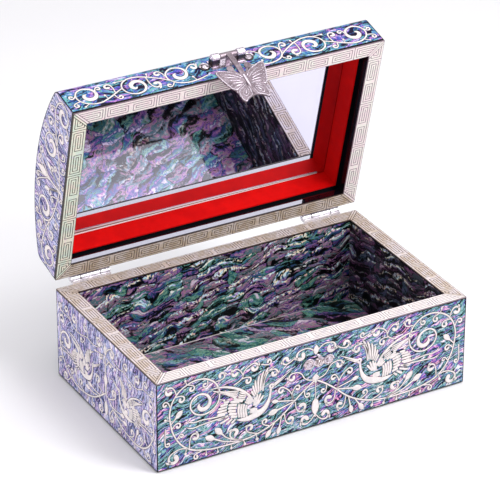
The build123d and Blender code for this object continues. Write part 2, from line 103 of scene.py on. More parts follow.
BASE_STAND = Matrix.Scale(MM, 4)
LID_STAND = (
    Matrix.Translation(hinge)
    @ Matrix.Rotation(-lid_open, 4, "X")
    @ Matrix.Translation((0, -hinge.y, -HINGE_ABOVE_LID_RIM * MM))
    @ Matrix.Scale(MM, 4)
)


def span(node, stand):
    """Lowest and highest corner of a CAD node in a stand's own millimetres."""
    turn = stand.inverted()
    corners = [turn @ v.co for v in frame["nodes"][node].data.vertices]
    low = Vector([min(c[i] for c in corners) for i in range(3)])
    high = Vector([max(c[i] for c in corners) for i in range(3)])
    return low, high


def axes(across, up, out, origin):
    """Matrix whose columns are three directions and a place."""
    turn = Matrix((across, up, out)).transposed().to_4x4()
    return Matrix.Translation(origin) @ turn


UP = Vector((0, 0, 1))
SIDES = ("front", "back", "left", "right")
OUTWARD = dict(zip(SIDES, [Vector(way) for way in ((0, -1, 0), (0, 1, 0), (-1, 0, 0), (1, 0, 0))]))


def is_long(side):
    return side in ("front", "back")


def face(stand, side, half_x, half_y):
    """Stand of one outer face: across, up and out of the face."""
    out = OUTWARD[side]
    return stand @ axes(UP.cross(out), UP, out, out * (half_y if is_long(side) else half_x))


base_low, base_high = span("base_front_board", BASE_STAND)
lid_low, lid_high = span("lid_front_board", LID_STAND)
BASE_HALF_X, BASE_HALF_Y = base_high.x, -base_low.y
LID_HALF_X, LID_HALF_Y = lid_high.x, -lid_low.y
BASE_FACE = {side: face(BASE_STAND, side, BASE_HALF_X, BASE_HALF_Y) for side in SIDES}
LID_FACE = {side: face(LID_STAND, side, LID_HALF_X, LID_HALF_Y) for side in SIDES}

tilt = radians(HASP_TILT)
HASP_FACE = LID_STAND @ axes(
    (1, 0, 0), (0, -sin(tilt), cos(tilt)), (0, -cos(tilt), -sin(tilt)), (LATCH_X, HASP_BEND_Y, HASP_BEND_Z)
)


# Finishes


def tint(code):
    """Linear colour of a hex code as a paint chart gives it."""
    parts = [int(code[i:i + 2], 16) / 255 for i in (1, 3, 5)]
    linear = [p / 12.92 if p <= 0.04045 else ((p + 0.055) / 1.055) ** 2.4 for p in parts]
    return (*linear, 1.0)


class Wire:
    """One output of a node. Sums and products of wires add Math nodes."""

    def __init__(self, finish, socket):
        self.finish = finish
        self.socket = socket

    def work(self, operation, first, second=0.0):
        return self.finish.node("Math", {"operation": operation}, {0: first, 1: second})

    def __add__(self, other):
        return self.work("ADD", self, other)

    __radd__ = __add__

    def __sub__(self, other):
        return self.work("SUBTRACT", self, other)

    def __rsub__(self, other):
        return self.work("SUBTRACT", other, self)

    def __mul__(self, other):
        return self.work("MULTIPLY", self, other)

    def __pow__(self, other):
        return self.work("POWER", self, other)

    def folded(self):
        """The value swung back and forth between 0 and 1, as the colours of a thin layer repeat."""
        return self.work("PINGPONG", self, 1.0)

    def size(self):
        """The value without its sign."""
        return self.work("ABSOLUTE", self)

    def beside(self, out):
        """Another output of the same node."""
        return Wire(self.finish, self.socket.node.outputs[out])

    def part(self, letter):
        """X, Y or Z of a place or colour."""
        return self.finish.node("SeparateXYZ", {}, {"Vector": self}, letter)

    def over(self, low, high):
        """0 below low, 1 above high, smooth between."""
        settings = {"interpolation_type": "SMOOTHSTEP"}
        return self.finish.node("MapRange", settings, {0: self, 1: low, 2: high})


class Finish:
    """A material under way, with its place on a stand in the stand's own millimetres."""

    def __init__(self, name, stand):
        self.material = bpy.data.materials.new(name)
        self.material.use_nodes = True
        self.tree = self.material.node_tree
        self.tree.nodes.clear()
        sockets = {"Vector": self.node("TexCoord", {}, {}, "Object"), "Location": stand.translation}
        sockets["Rotation"] = stand.to_euler()
        sockets["Scale"] = stand.to_scale()
        self.at = self.node("Mapping", {"vector_type": "TEXTURE"}, sockets)

    def node(self, kind, settings, sockets, out=0):
        """One node: its settings first, then the values or wires of its sockets."""
        node = self.tree.nodes.new("ShaderNode" + kind)
        for name, value in settings.items():
            setattr(node, name, value)
        for name, value in sockets.items():
            if isinstance(value, Wire):
                self.tree.links.new(value.socket, node.inputs[name])
            else:
                node.inputs[name].default_value = value
        return Wire(self, node.outputs[out]) if node.outputs else None

    def noise(self, at, size, detail=2.0, roughness=0.5, out="Fac"):
        """Noise whose spots are about this many millimetres."""
        sockets = {"Vector": at, "Scale": 1 / size, "Detail": detail, "Roughness": roughness}
        return self.node("TexNoise", {}, sockets, out)

    def pushed(self, at, push, reach):
        """A place moved by a colour, up to this much along each axis."""
        return self.node("VectorMath", {"operation": "MULTIPLY_ADD"}, {0: push, 1: reach, 2: at})

    def along_grain(self, at, grain, size):
        """A place counted in streaks this long and this wide, turned by the grain's angle."""
        sockets = {"Vector": at, "Rotation": (0, 0, radians(grain)), "Scale": (size[0], size[1], size[1])}
        return self.node("Mapping", {"vector_type": "TEXTURE"}, sockets)

    def blend(self, first, second, factor):
        """Two colours, wires or hex codes, mixed by a factor."""
        first, second = (tint(c) if isinstance(c, str) else c for c in (first, second))
        return self.node("Mix", {"data_type": "RGBA"}, {0: factor, 6: first, 7: second}, 2)

    def ramp(self, value, colours):
        """Evenly placed colours, read off by a value from 0 to 1."""
        read = self.node("ValToRGB", {}, {"Fac": value}, "Color")
        stops = read.socket.node.color_ramp.elements
        while len(stops) < len(colours):
            stops.new(1.0)
        for place, (stop, colour) in enumerate(zip(stops, colours)):
            stop.position = place / (len(colours) - 1)
            stop.color = tint(colour)
        return read

    def bump(self, height, distance, strength=1.0):
        """Relief of this many millimetres."""
        sockets = {"Height": height, "Distance": distance * MM, "Strength": strength}
        return self.node("Bump", {}, sockets)

    def done(self, **sockets):
        """The surface itself, with plain values and wires on its sockets."""
        named = {name.replace("_", " "): value for name, value in sockets.items()}
        shader = self.node("BsdfPrincipled", {}, named)
        self.node("OutputMaterial", {}, {"Surface": shader})
        return self.material


def speckled(name, stand, spots, tones, rough, between=None, relief=None, **plain):
    """A finish that one noise gives its tone between two, its roughness and its relief.

    The noise's size, detail and roughness come first, then the tones, the least and the added roughness,
    the part of the noise over which the tone changes, and the depth and strength of the relief."""
    f = Finish(name, stand)
    noise = f.noise(f.at, *spots)
    colour = f.blend(*tones, noise.over(*between) if between else noise)
    if relief:
        plain["Normal"] = f.bump(noise, *relief)
    return f.done(Base_Color=colour, Roughness=rough[0] + noise * rough[1], **plain)


def shell_sheet(name, stand, grain, build, palette, glints=0.0, gloss=(0.04, 1.6)):
    """Sheet of sea-ear shell: torn flakes along its grain, each of its own colour, painted lighter towards
    its upper lip with painted glints there, and painted shadow in the cracks along its lower edge.

    The build is the length and width of a flake in mm, how torn it is, how wide the cracks are, how strong
    its fine lines are, how far they turn from flake to flake, and how much each flake keeps one colour of
    its own. The palette is its colours, its deep and pale tone, and where on the scale of light each begins.
    The gloss is the share and the index of the lacquer over it."""
    length, width, torn, crack, hatch, swing, plain = build
    colours, deep, pale, deep_from, pale_from = palette
    f = Finish(name, stand)
    bent = f.pushed(f.at, f.noise(f.at, 22, 2, out="Color"), (16, 16, 0))
    laps = f.along_grain(bent, grain, (length, width))
    ragged = f.pushed(laps, f.noise(laps, 0.5, 4, 0.65, "Color"), (torn, torn, 0))
    sockets = {"Vector": ragged, "Scale": 1.0}
    own = f.node("TexVoronoi", {"voronoi_dimensions": "2D"}, sockets, "Color")
    settings = {"voronoi_dimensions": "2D", "feature": "DISTANCE_TO_EDGE"}
    edge = f.node("TexVoronoi", settings, sockets, "Distance")
    off_middle = f.node("VectorMath", {"operation": "SUBTRACT"}, {0: ragged, 1: own.beside("Position")})
    # Place in the flake from its lower edge to its upper lip; it places the painted shade, shadow and glints
    # below
    lap = off_middle.part("Y") + 0.5
    sockets = {"Vector": bent, "Angle": (own.part("Z") - 0.5) * swing}
    turned = f.node("VectorRotate", {"rotation_type": "Z_AXIS"}, sockets)
    lines = f.noise(f.along_grain(turned, grain, (length * 0.6, width * 0.3)), 1.0, 3, 0.6)
    streaks = f.noise(f.along_grain(bent, grain, (length * 0.9, width * 0.65)), 1.0, 2, 0.5)
    bands = f.noise(laps, 2.5, 2, 0.5)
    patches = f.noise(laps, 5, 2, 0.5)
    mottle = f.noise(bent, 1.8, 3, 0.6)
    hue = (bands - 0.5) * (3.2 - plain * 2.2) + own.part("X") * plain * 2.0 + mottle - 0.5
    hue = hue + (streaks - 0.5) * (2.4 - plain * 1.6) + (lines - 0.5) * hatch * 2.4
    pearl = f.ramp(hue.folded(), colours)
    # Scale of light: random tone of each flake, patch, streak, line and mottle, with painted shade that
    # makes each flake darker at its lower edge and lighter at its upper lip
    light = (own.part("Y") - 0.5) * (0.25 + plain * 0.35) + (lap - 0.5) * 0.35 + (patches - 0.5) * 0.7
    light = light + (streaks - 0.5) * (1.7 - plain) + (lines - 0.5) * hatch * 2.2 + (mottle - 0.5) * 0.9
    light = light + 0.5
    shaded = f.blend(pearl, deep, 1 - light.over(deep_from - 0.14, deep_from + 0.12))
    lit = f.blend(shaded, pale, light.over(pale_from, pale_from + 0.25) * 0.8)
    # Dark cracks, kept along the lower edge of each flake: partly real cracks, partly painted shadow under
    # the lip of the flake above
    seam = (1 - edge.over(crack * 0.25, crack)) * (1 - lap.over(0.35, 0.75))
    cracks_and_shadow = f.blend(lit, "#030308", seam * 0.92)
    # Painted glints: bright highlights in pink, yellow, white and blue along the upper lip of some flakes
    # and over the upper half of a few
    glint_tone = f.ramp(lines * 3 - 1, ["#ff9fd8", "#fff0b8", "#ffffff", "#b8f4ff", "#f0b8ff"])
    chance = own.part("Z")
    ridge = (1 - (lap - 0.74).size().over(0.03, 0.13)) * mottle.over(0.45, 0.54) * chance.over(0.25, 0.4)
    crest = lap.over(0.45, 0.75) * mottle.over(0.48, 0.58) * chance.over(0.62, 0.72)
    glint = f.blend(cracks_and_shadow, glint_tone, (ridge + crest) * (1 - seam) * glints)
    relief = f.bump(lap * 0.5 + lines * 0.5 - seam * 0.6, 0.4, 0.5)
    return f.done(
        Base_Color=glint, Roughness=0.26 + lines * 0.2, Metallic=bands * 0.4, Normal=relief,
        Specular_IOR_Level=0.1, Coat_Weight=gloss[0], Coat_Roughness=0.03, Coat_IOR=gloss[1],
    )


def white_shell(name, stand, light_colours):
    """White shell with a faint play of pink and green, for the inlay and the fret."""
    f = Finish(name, stand)
    patches = f.noise(f.at, 9, 3, 0.6)
    play = f.noise(f.at, 2.2, 3, 0.6)
    grainy = f.noise(f.at, 0.6, 3, 0.6)
    cloud = f.ramp(patches * 0.8 + play * 0.6 - 0.2, light_colours)
    colour = f.blend(cloud, "#85757a", (1 - grainy.over(0.2, 0.6)) * 0.3)
    return f.done(
        Base_Color=colour, Roughness=0.35 + play * 0.25, Specular_IOR_Level=0.3,
        Coat_Weight=0.1, Coat_Roughness=0.1, Normal=f.bump(grainy, 0.02, 0.5),
    )


def mottled(name, stand, spots, fine, shares, colours, rough, relief):
    """A finish of two noises, broad and fine: the share of each in the colour, roughness and relief."""
    f = Finish(name, stand)
    patches = f.noise(f.at, *spots)
    grainy = f.noise(f.at, *fine)
    colour = f.ramp(patches * shares[0] + grainy * shares[1], colours)
    return f.done(Base_Color=colour, Roughness=rough[0] + grainy * rough[1], Normal=f.bump(grainy, *relief))


def fret_ground(name, stand, browns):
    """Cut ground of the fret, brown with dust in it."""
    return mottled(name, stand, (7, 3, 0.6), (0.5, 3, 0.6), (0.7, 0.3), browns, (0.45, 0.2), (0.03, 0.6))


def black_lacquer():
    """Black lacquer, rubbed down, with faint orange peel and a few dull spots."""
    f = Finish("black lacquer", BASE_STAND)
    peel = f.noise(f.at, 1.6, 2, 0.5)
    wiped = f.noise(f.at, 30, 4, 0.65)
    colour = f.blend("#05050a", "#0d0c14", wiped.over(0.35, 0.75))
    return f.done(
        Base_Color=colour, Roughness=0.16 + wiped * 0.16, Normal=f.bump(peel, 0.008, 0.35),
        Specular_IOR_Level=0.12, Coat_Weight=0.04, Coat_Roughness=0.05,
    )


def polished_lip():
    """Black lacquer of the lid's back board, rubbed down, with a band polished like glass inside the rim."""
    f = Finish("polished lip", LID_STAND)
    wiped = f.noise(f.at, 18, 4, 0.65)
    dust = f.noise(f.at, 0.9, 3, 0.6)
    colour = f.blend("#04040a", "#0b0a12", wiped.over(0.35, 0.75))
    above_rim = f.at.part("Z")
    inside = 1 - f.at.part("Y").over(LID_HALF_Y - LIP_FROM_BACK, LID_HALF_Y - LIP_FROM_BACK + 1)
    band = inside * above_rim.over(LIP_LOW, LIP_LOW + 0.3) * (1 - above_rim.over(LIP_HIGH, LIP_HIGH + 0.15))
    return f.done(
        Base_Color=colour, Roughness=0.2 + wiped * 0.1, Specular_IOR_Level=0.02,
        Coat_Weight=band * (0.75 + dust * 0.4), Coat_Roughness=0.02, Coat_IOR=1.9,
    )


def red_lining():
    """Bright red lining with a satin face and a slightly uneven dye."""
    f = Finish("red lining", LID_STAND)
    dye = f.noise(f.at, 16, 3, 0.6)
    nap = f.noise(f.at, 0.35, 3, 0.7)
    colour = f.blend("#c80002", "#dc0402", dye.over(0.3, 0.7))
    deep = f.blend(colour, "#7c0002", (1 - nap.over(0.3, 0.6)) * 0.15)
    return f.done(
        Base_Color=deep, Roughness=0.6 + nap * 0.2, Normal=f.bump(nap, 0.05, 0.4), Specular_IOR_Level=0.08,
    )


def bright_metal(name, stand, light, dark, smooth, grain, relief=0.03):
    """Plated metal: light and dark tone, base roughness, the size of its grain and how deep it is."""
    f = Finish(name, stand)
    handled = f.noise(f.at, 4, 4, 0.6)
    fine = f.noise(f.at, grain, 3, 0.65)
    colour = f.blend(light, dark, (handled * 0.4 + (1 - fine) * 0.6).over(0.42, 0.66))
    return f.done(
        Base_Color=colour, Metallic=0.85, Roughness=smooth + handled * 0.1 + fine * 0.06,
        Normal=f.bump(fine, relief, 0.6),
    )


def hinge_nickel(name, stand, axis_z):
    """Bright nickel with painted shade, dark brown, in the joints between the knuckles and where they meet
    the leaf.
    """
    f = Finish(name, stand)
    at = f.at
    handled = f.noise(at, 5, 4, 0.6)
    fine = f.noise(at, 0.5, 3, 0.65)
    from_joint = ((at.part("X").size() - HINGE_X).size() - KNUCKLE_JOINT).size()
    out = ((at.part("Y") - hinge.y / MM) ** 2 + (at.part("Z") - axis_z) ** 2) ** 0.5
    on_barrel = 1 - out.over(KNUCKLE_R + 0.05, KNUCKLE_R + JOINT_SHADE_BAND / 2)
    on_leaf = (1 - on_barrel) * (1 - out.over(KNUCKLE_R + JOINT_SHADE_BAND / 2, KNUCKLE_R + JOINT_SHADE_BAND * 1.5))
    # Painted shade: dark brown in the joints between the knuckles and on the leaf round the barrel
    joint_shade = on_barrel * (1 - from_joint.over(JOINT_SHADE_BAND / 2 + 0.02, JOINT_SHADE_BAND + 0.02)) + on_leaf
    plate = f.blend("#f4f0f6", "#b4acb8", (handled * 0.6 + fine * 0.4).over(0.42, 0.7))
    colour = f.blend(plate, "#24121a", joint_shade * 0.92)
    return f.done(
        Base_Color=colour, Metallic=0.6 - joint_shade * 0.5, Roughness=0.2 + handled * 0.14 + joint_shade * 0.2,
        Normal=f.bump(fine, 0.02, 0.4),
    )


def latch_silver():
    """Latch plate: pale polished ends, with brown painted shade low on the ears, round the pin and on the
    eyelets, its edge broken by streaks.
    """
    f = Finish("latch silver", LID_FACE["front"])
    handled = f.noise(f.at, 4, 4, 0.6)
    streaks = f.noise(f.at, 0.7, 4, 0.7)
    out = f.at.part("Z") + (streaks - 0.5) * 1.6
    on_eyelet = (f.at.part("X") - LATCH_X).size().over(EYELET_FROM - 0.2, EYELET_FROM + 0.2)
    # Painted shade: brown low on the ears up to the pin, and over the eyelets
    low = (out.over(0.7, 1.1) + on_eyelet) * (1 - out.over(4.9, 5.5))
    pale = f.blend("#ddd0e0", "#a596a4", (handled * 0.5 + streaks * 0.5).over(0.4, 0.68))
    shade_brown = f.blend("#1c0f0c", "#7a5c48", streaks.over(0.5, 0.72))
    colour = f.blend(pale, shade_brown, low * 0.9)
    return f.done(
        Base_Color=colour, Metallic=0.8, Roughness=0.16 + handled * 0.16, Normal=f.bump(streaks, 0.05, 0.5),
    )


def dress(material, *nodes):
    """Give CAD nodes their finish."""
    for node in nodes:
        slots = frame["nodes"][node].data.materials
        slots.clear()
        slots.append(material)


# Colours, deep and pale tone, and where on the scale of light the deep and the pale begin
FRONT_COLOURS = [
    "#1c3458", "#4c8894", "#9ccfae", "#7ca4cc", "#4464b4", "#2c3084", "#6c54ac", "#a068bc", "#d884bc",
    "#f0acc4", "#c8a4a0", "#7c94a4", "#444c90",
]
FRONT_PALETTE = (FRONT_COLOURS, "#06070f", "#fbeef4", 0.34, 0.68)
SIDE_COLOURS = [
    "#6c80bc", "#a4b0d8", "#dcccdc", "#9494cc", "#5c58a8", "#9c84c0", "#d4acd0", "#e0d0d8", "#9ca4d4",
    "#b4ccd0", "#7c78bc",
]
SIDE_PALETTE = (SIDE_COLOURS, "#282c68", "#f8f0f4", 0.36, 0.66)
LID_COLOURS = [
    "#243c84", "#3c6cb8", "#5ca4a0", "#7cb4a4", "#5c84c8", "#3448a8", "#4c44a4", "#7c58b8", "#b474b8",
    "#cc94b4", "#7068c0", "#4c50a8",
]
LID_PALETTE = (LID_COLOURS, "#14082c", "#d4e0f4", 0.38, 0.72)
INNER_COLOURS = [
    "#1c4c60", "#3c7c74", "#84a884", "#5498a0", "#305c84", "#344480", "#684c90", "#a46ca8", "#b48890",
    "#6c7480", "#347078",
]
INNER_PALETTE = (INNER_COLOURS, "#010204", "#f4e8f4", 0.36, 0.82)
# Darker copy of the inner colours for the inner right wall, with fewer painted glints: painted shade
SHADED_COLOURS = ["#28304c", "#4c6470", "#5c5878", "#40365c", "#6c4468", "#7c4c70", "#4c4854", "#34444c"]
SHADED_PALETTE = (SHADED_COLOURS, "#010103", "#d8c4d8", 0.5, 0.88)
OUTER_BUILD = (9.0, 2.2, 0.9, 0.1, 0.75, 0.3, 0.2)
LID_BUILD = (10.0, 3.6, 0.8, 0.03, 0.5, 0.3, 0.3)
INNER_BUILD = (12.0, 5.0, 0.5, 0.08, 0.75, 0.5, 0.7)
FLOOR_BUILD = (16.0, 7.5, 0.45, 0.05, 0.7, 0.6, 0.75)
GRAIN_LONG = 22
GRAIN_END = 80
LID_GRAIN = 6
INNER_GRAIN = -12
FLOOR_GRAIN = -28
FLOOR_GLOSS = (0.36, 1.95)
# Strength of the painted glints on the floor and on the darker inner right wall
FLOOR_GLINTS = 0.25
SHADED_GLINTS = 0.5

black = black_lacquer()
dress(black, *[f"base_{side}_board" for side in SIDES], "base_bottom_board")
dress(black, "lid_front_board", "lid_left_board", "lid_right_board", "lid_crown_board")
dress(polished_lip(), "lid_back_board")

END_SHELL = (GRAIN_END, OUTER_BUILD, SIDE_PALETTE)
BASE_SHELL = (GRAIN_LONG, OUTER_BUILD, FRONT_PALETTE)
LID_SHELL = (LID_GRAIN, LID_BUILD, LID_PALETTE)
FLOOR_SHELL = (FLOOR_GRAIN, FLOOR_BUILD, INNER_PALETTE, FLOOR_GLINTS, FLOOR_GLOSS)
WALL_SHELL = (INNER_GRAIN, INNER_BUILD, INNER_PALETTE, 1.0)
SHADED_SHELL = (INNER_GRAIN, INNER_BUILD, SHADED_PALETTE, SHADED_GLINTS)
for side in SIDES:
    outer = BASE_SHELL if is_long(side) else END_SHELL
    dress(shell_sheet(f"{side} shell", BASE_FACE[side], *outer), f"base_{side}_shell")
    outer = LID_SHELL if is_long(side) else END_SHELL
    dress(shell_sheet(f"lid {side} shell", LID_FACE[side], *outer), f"lid_{side}_shell")
    # The inner right wall takes the darker copy: painted shade
    inner = SHADED_SHELL if side == "right" else WALL_SHELL
    dress(shell_sheet(f"inner {side} shell", BASE_FACE[side], *inner), f"base_{side}_inner_shell")
dress(shell_sheet("crown shell", LID_STAND, *LID_SHELL), "lid_crown_shell")
dress(shell_sheet("floor shell", BASE_STAND, *FLOOR_SHELL), "base_floor_shell")

PALE_BROWNS = ["#4c3840", "#745c68", "#84707c", "#604c58"]
base_ground = fret_ground("base fret ground", BASE_STAND, ["#2c1c1a", "#4c3a36", "#5c4a44", "#3c2c34"])
lid_ground = fret_ground("lid fret ground", LID_STAND, ["#1c100e", "#34241e", "#443228", "#2a1c20"])
pale_ground = fret_ground("front fret ground", BASE_STAND, ["#54444a", "#7c6c74", "#8c7e88", "#685a64"])
dress(pale_ground, "base_front_rim")
dress(base_ground, *[f"base_{side}_rim" for side in SIDES if side != "front"])
lid_pale_ground = fret_ground("lid pale fret ground", LID_STAND, PALE_BROWNS)
dress(lid_ground, "lid_back_rim", "lid_left_rim")
dress(lid_pale_ground, "lid_front_rim", "lid_right_rim")
dress(red_lining(), *[f"lid_{side}_lining" for side in SIDES])
felt = mottled(
    "felt", BASE_STAND, (14, 3, 0.6), (0.5, 5, 0.75), (0.3, 0.7), ["#15151b", "#23222b", "#33313b"],
    (0.9, 0.08), (0.3, 0.9),
)
dress(felt, "base_felt")
card = speckled(
    "backing card", LID_STAND, (0.8, 5, 0.7), ("#8d8378", "#6f665c"), (0.85, 0.1), relief=(0.05, 0.5)
)
dress(card, "mirror_backing_card")

base_nickel = hinge_nickel("base nickel", BASE_STAND, hinge.z / MM)
lid_nickel = hinge_nickel("lid nickel", LID_STAND, HINGE_ABOVE_LID_RIM)
base_silver = bright_metal("base silver", BASE_STAND, "#e4dae6", "#8c7a84", 0.2, 0.5)
lid_silver = bright_metal("lid silver", LID_STAND, "#e0d6e2", "#8c7a84", 0.2, 0.5)
wing_silver = bright_metal("wing silver", HASP_FACE, "#94868f", "#52444c", 0.22, 0.36, 0.12)
for hand in ("left", "right"):
    dress(base_nickel, f"{hand}_hinge_lower_leaf", f"{hand}_hinge_pin")
    dress(lid_nickel, f"{hand}_hinge_upper_leaf")
dress(base_nickel, "base_hinge_nails")
dress(lid_nickel, "lid_hinge_nails")
catch_brass = speckled(
    "catch brass", BASE_STAND, (0.8, 4, 0.7), ("#503c38", "#e4d6da"), (0.25, 0.2), (0.4, 0.56), (0.05, 0.5),
    Metallic=0.7,
)
dress(catch_brass, "catch_plate", "catch_stud")
dress(base_silver, "catch_nails")
dress(latch_silver(), "latch_plate", "latch_pin")
dress(lid_silver, "latch_nails")
dress(wing_silver, "butterfly_hasp")


# Drawings for the inlay

# A curl turns this many degrees in so many steps, and has a side lobe when its reach is more than this
CURL_SWEEP = 290
CURL_STEPS = 6
LOBE_FROM = 2.7
# Its start and what it winds in, and the half width of its drop, as shares of its reach
CURL_START = 0.9
CURL_CLOSES = 0.58
CURL_DROP = 0.34
# Middle line of the drawings on the long faces
MIDDLE = 0.6


class Drawing:
    """Lines that swell and taper, each a list of (x, y) knots and a list of half widths."""

    def __init__(self):
        self.lines = []

    def line(self, knots, widths):
        self.lines.append(([Vector(k) for k in knots], widths))

    def upright(self, x, heights, widths):
        """Straight upright line."""
        self.line([(x, y) for y in heights], widths)

    def add(self, other, place=(0, 0), scale=1.0, turn=0.0, flip=1):
        """Another drawing, turned, scaled and set down at a place; flip -1 mirrors it first."""
        for knots, widths in other.lines:
            moved = []
            for k in knots:
                x, y = k.x * flip * scale, k.y * scale
                across, up = x * cos(turn) - y * sin(turn), x * sin(turn) + y * cos(turn)
                moved.append((across + place[0], up + place[1]))
            self.line(moved, [w * scale for w in widths])

    def mirrored(self, middle=0.0):
        """This drawing and its mirror image about an upright line."""
        whole = Drawing()
        whole.add(self, (middle, 0))
        whole.add(self, (middle, 0), flip=-1)
        return whole

    def curl(self, foot, eye, reach, turn, via=()):
        """Stem from a foot into a spiral round its eye that ends in a drop; turn 1 is anticlockwise."""
        knots = [Vector(foot)] + [Vector(v) for v in via]
        eye = Vector(eye)
        away = knots[-1] - eye
        lean = acos(min(1.0, reach / away.length))
        start = atan2(away.y, away.x) + turn * lean
        widths = [STEM] * len(knots)
        fat = CURL_DROP * reach
        for k in range(CURL_STEPS + 1):
            part = k / CURL_STEPS
            angle = start + turn * radians(CURL_SWEEP) * part
            radius = reach * (CURL_START - CURL_CLOSES * part)
            if k == 0 and away.length < reach * 1.25:
                continue
            knots.append(eye + Vector((cos(angle), sin(angle))) * radius)
            widths.append(STEM + (fat - STEM) * part ** 0.9)
        heading = (knots[-1] - knots[-2]).normalized()
        knots.append(knots[-1] + heading * fat * 0.8)
        widths.append(fat * 0.78)
        knots.append(knots[-1] + heading * fat * 0.45)
        widths.append(fat * 0.12)
        self.line(knots, widths)
        if reach > LOBE_FROM:
            angle = start + turn * radians(120)
            out = Vector((cos(angle), sin(angle)))
            back = Vector((out.y, -out.x)) * turn
            root = eye + out * reach * 0.62
            bend = root + (out * 0.32 + back * 0.22) * reach
            tip = root + (out * 0.42 + back * 0.62) * reach
            self.line([root, bend, tip], [fat * 0.7, fat * 0.6, fat * 0.08])

    def curls(self, rows):
        """Curls on straight stems: foot, eye, reach and turn of each."""
        for x, y, eye_x, eye_y, reach, turn in rows:
            self.curl((x, y), (eye_x, eye_y), reach, turn)

    def bud(self, foot, tip, width, via=()):
        """Stalk that swells into an oval bud with a pointed tip."""
        knots = [Vector(foot)] + [Vector(v) for v in via]
        tip = Vector(tip)
        back = (knots[-1] - tip).normalized() * width * 3.3
        widths = [STEM] * len(knots)
        for part, share in ((1.0, 0.28), (0.74, 0.82), (0.46, 1.0), (0.2, 0.68), (0.0, 0.06)):
            knots.append(tip + back * part)
            widths.append(width * share)
        self.line(knots, widths)

    def berry(self, foot, place, width):
        """Small round berry on a short stalk."""
        foot, place = Vector(foot), Vector(place)
        ahead = (place - foot).normalized() * width
        knots = [foot, place - ahead * 0.95, place - ahead * 0.5, place, place + ahead * 0.6, place + ahead]
        self.line(knots, [HAIR, HAIR, width * 0.85, width, width * 0.8, width * 0.1])

    def berries(self, rows):
        """Berries: foot, place and width of each."""
        for x, y, berry_x, berry_y, width in rows:
            self.berry((x, y), (berry_x, berry_y), width)

    def dots(self, places, reach, widths):
        """Short level dashes that swell in the middle."""
        for x, y in places:
            self.line([(x - reach, y), (x, y), (x + reach, y)], widths)

    def feather(self, root, tip, width, bow=0.0):
        """Blade from a root to a tip, bowed sideways by a share of its length."""
        root, tip = Vector(root), Vector(tip)
        along = tip - root
        side = Vector((-along.y, along.x)) * bow
        knots = [root, root + along * 0.3 + side * 0.8, root + along * 0.72 + side, tip]
        self.line(knots, [width * 0.55, width, width * 0.9, width * 0.1])

    def plumes(self, roots, tips, width, bow=0.0, narrow=0.8):
        """Round-ended plumes side by side, one for each root and tip."""
        for root, tip in zip(roots, tips):
            root, tip = Vector(root), Vector(tip)
            along = tip - root
            side = Vector((-along.y, along.x)) * bow
            knots = [
                root, root + along * 0.35 + side * 0.8, root + along * 0.72 + side,
                root + along * 0.92 + side * 0.3, tip,
            ]
            self.line(knots, [width * narrow, width * 0.85, width, width * 0.78, width * 0.12])


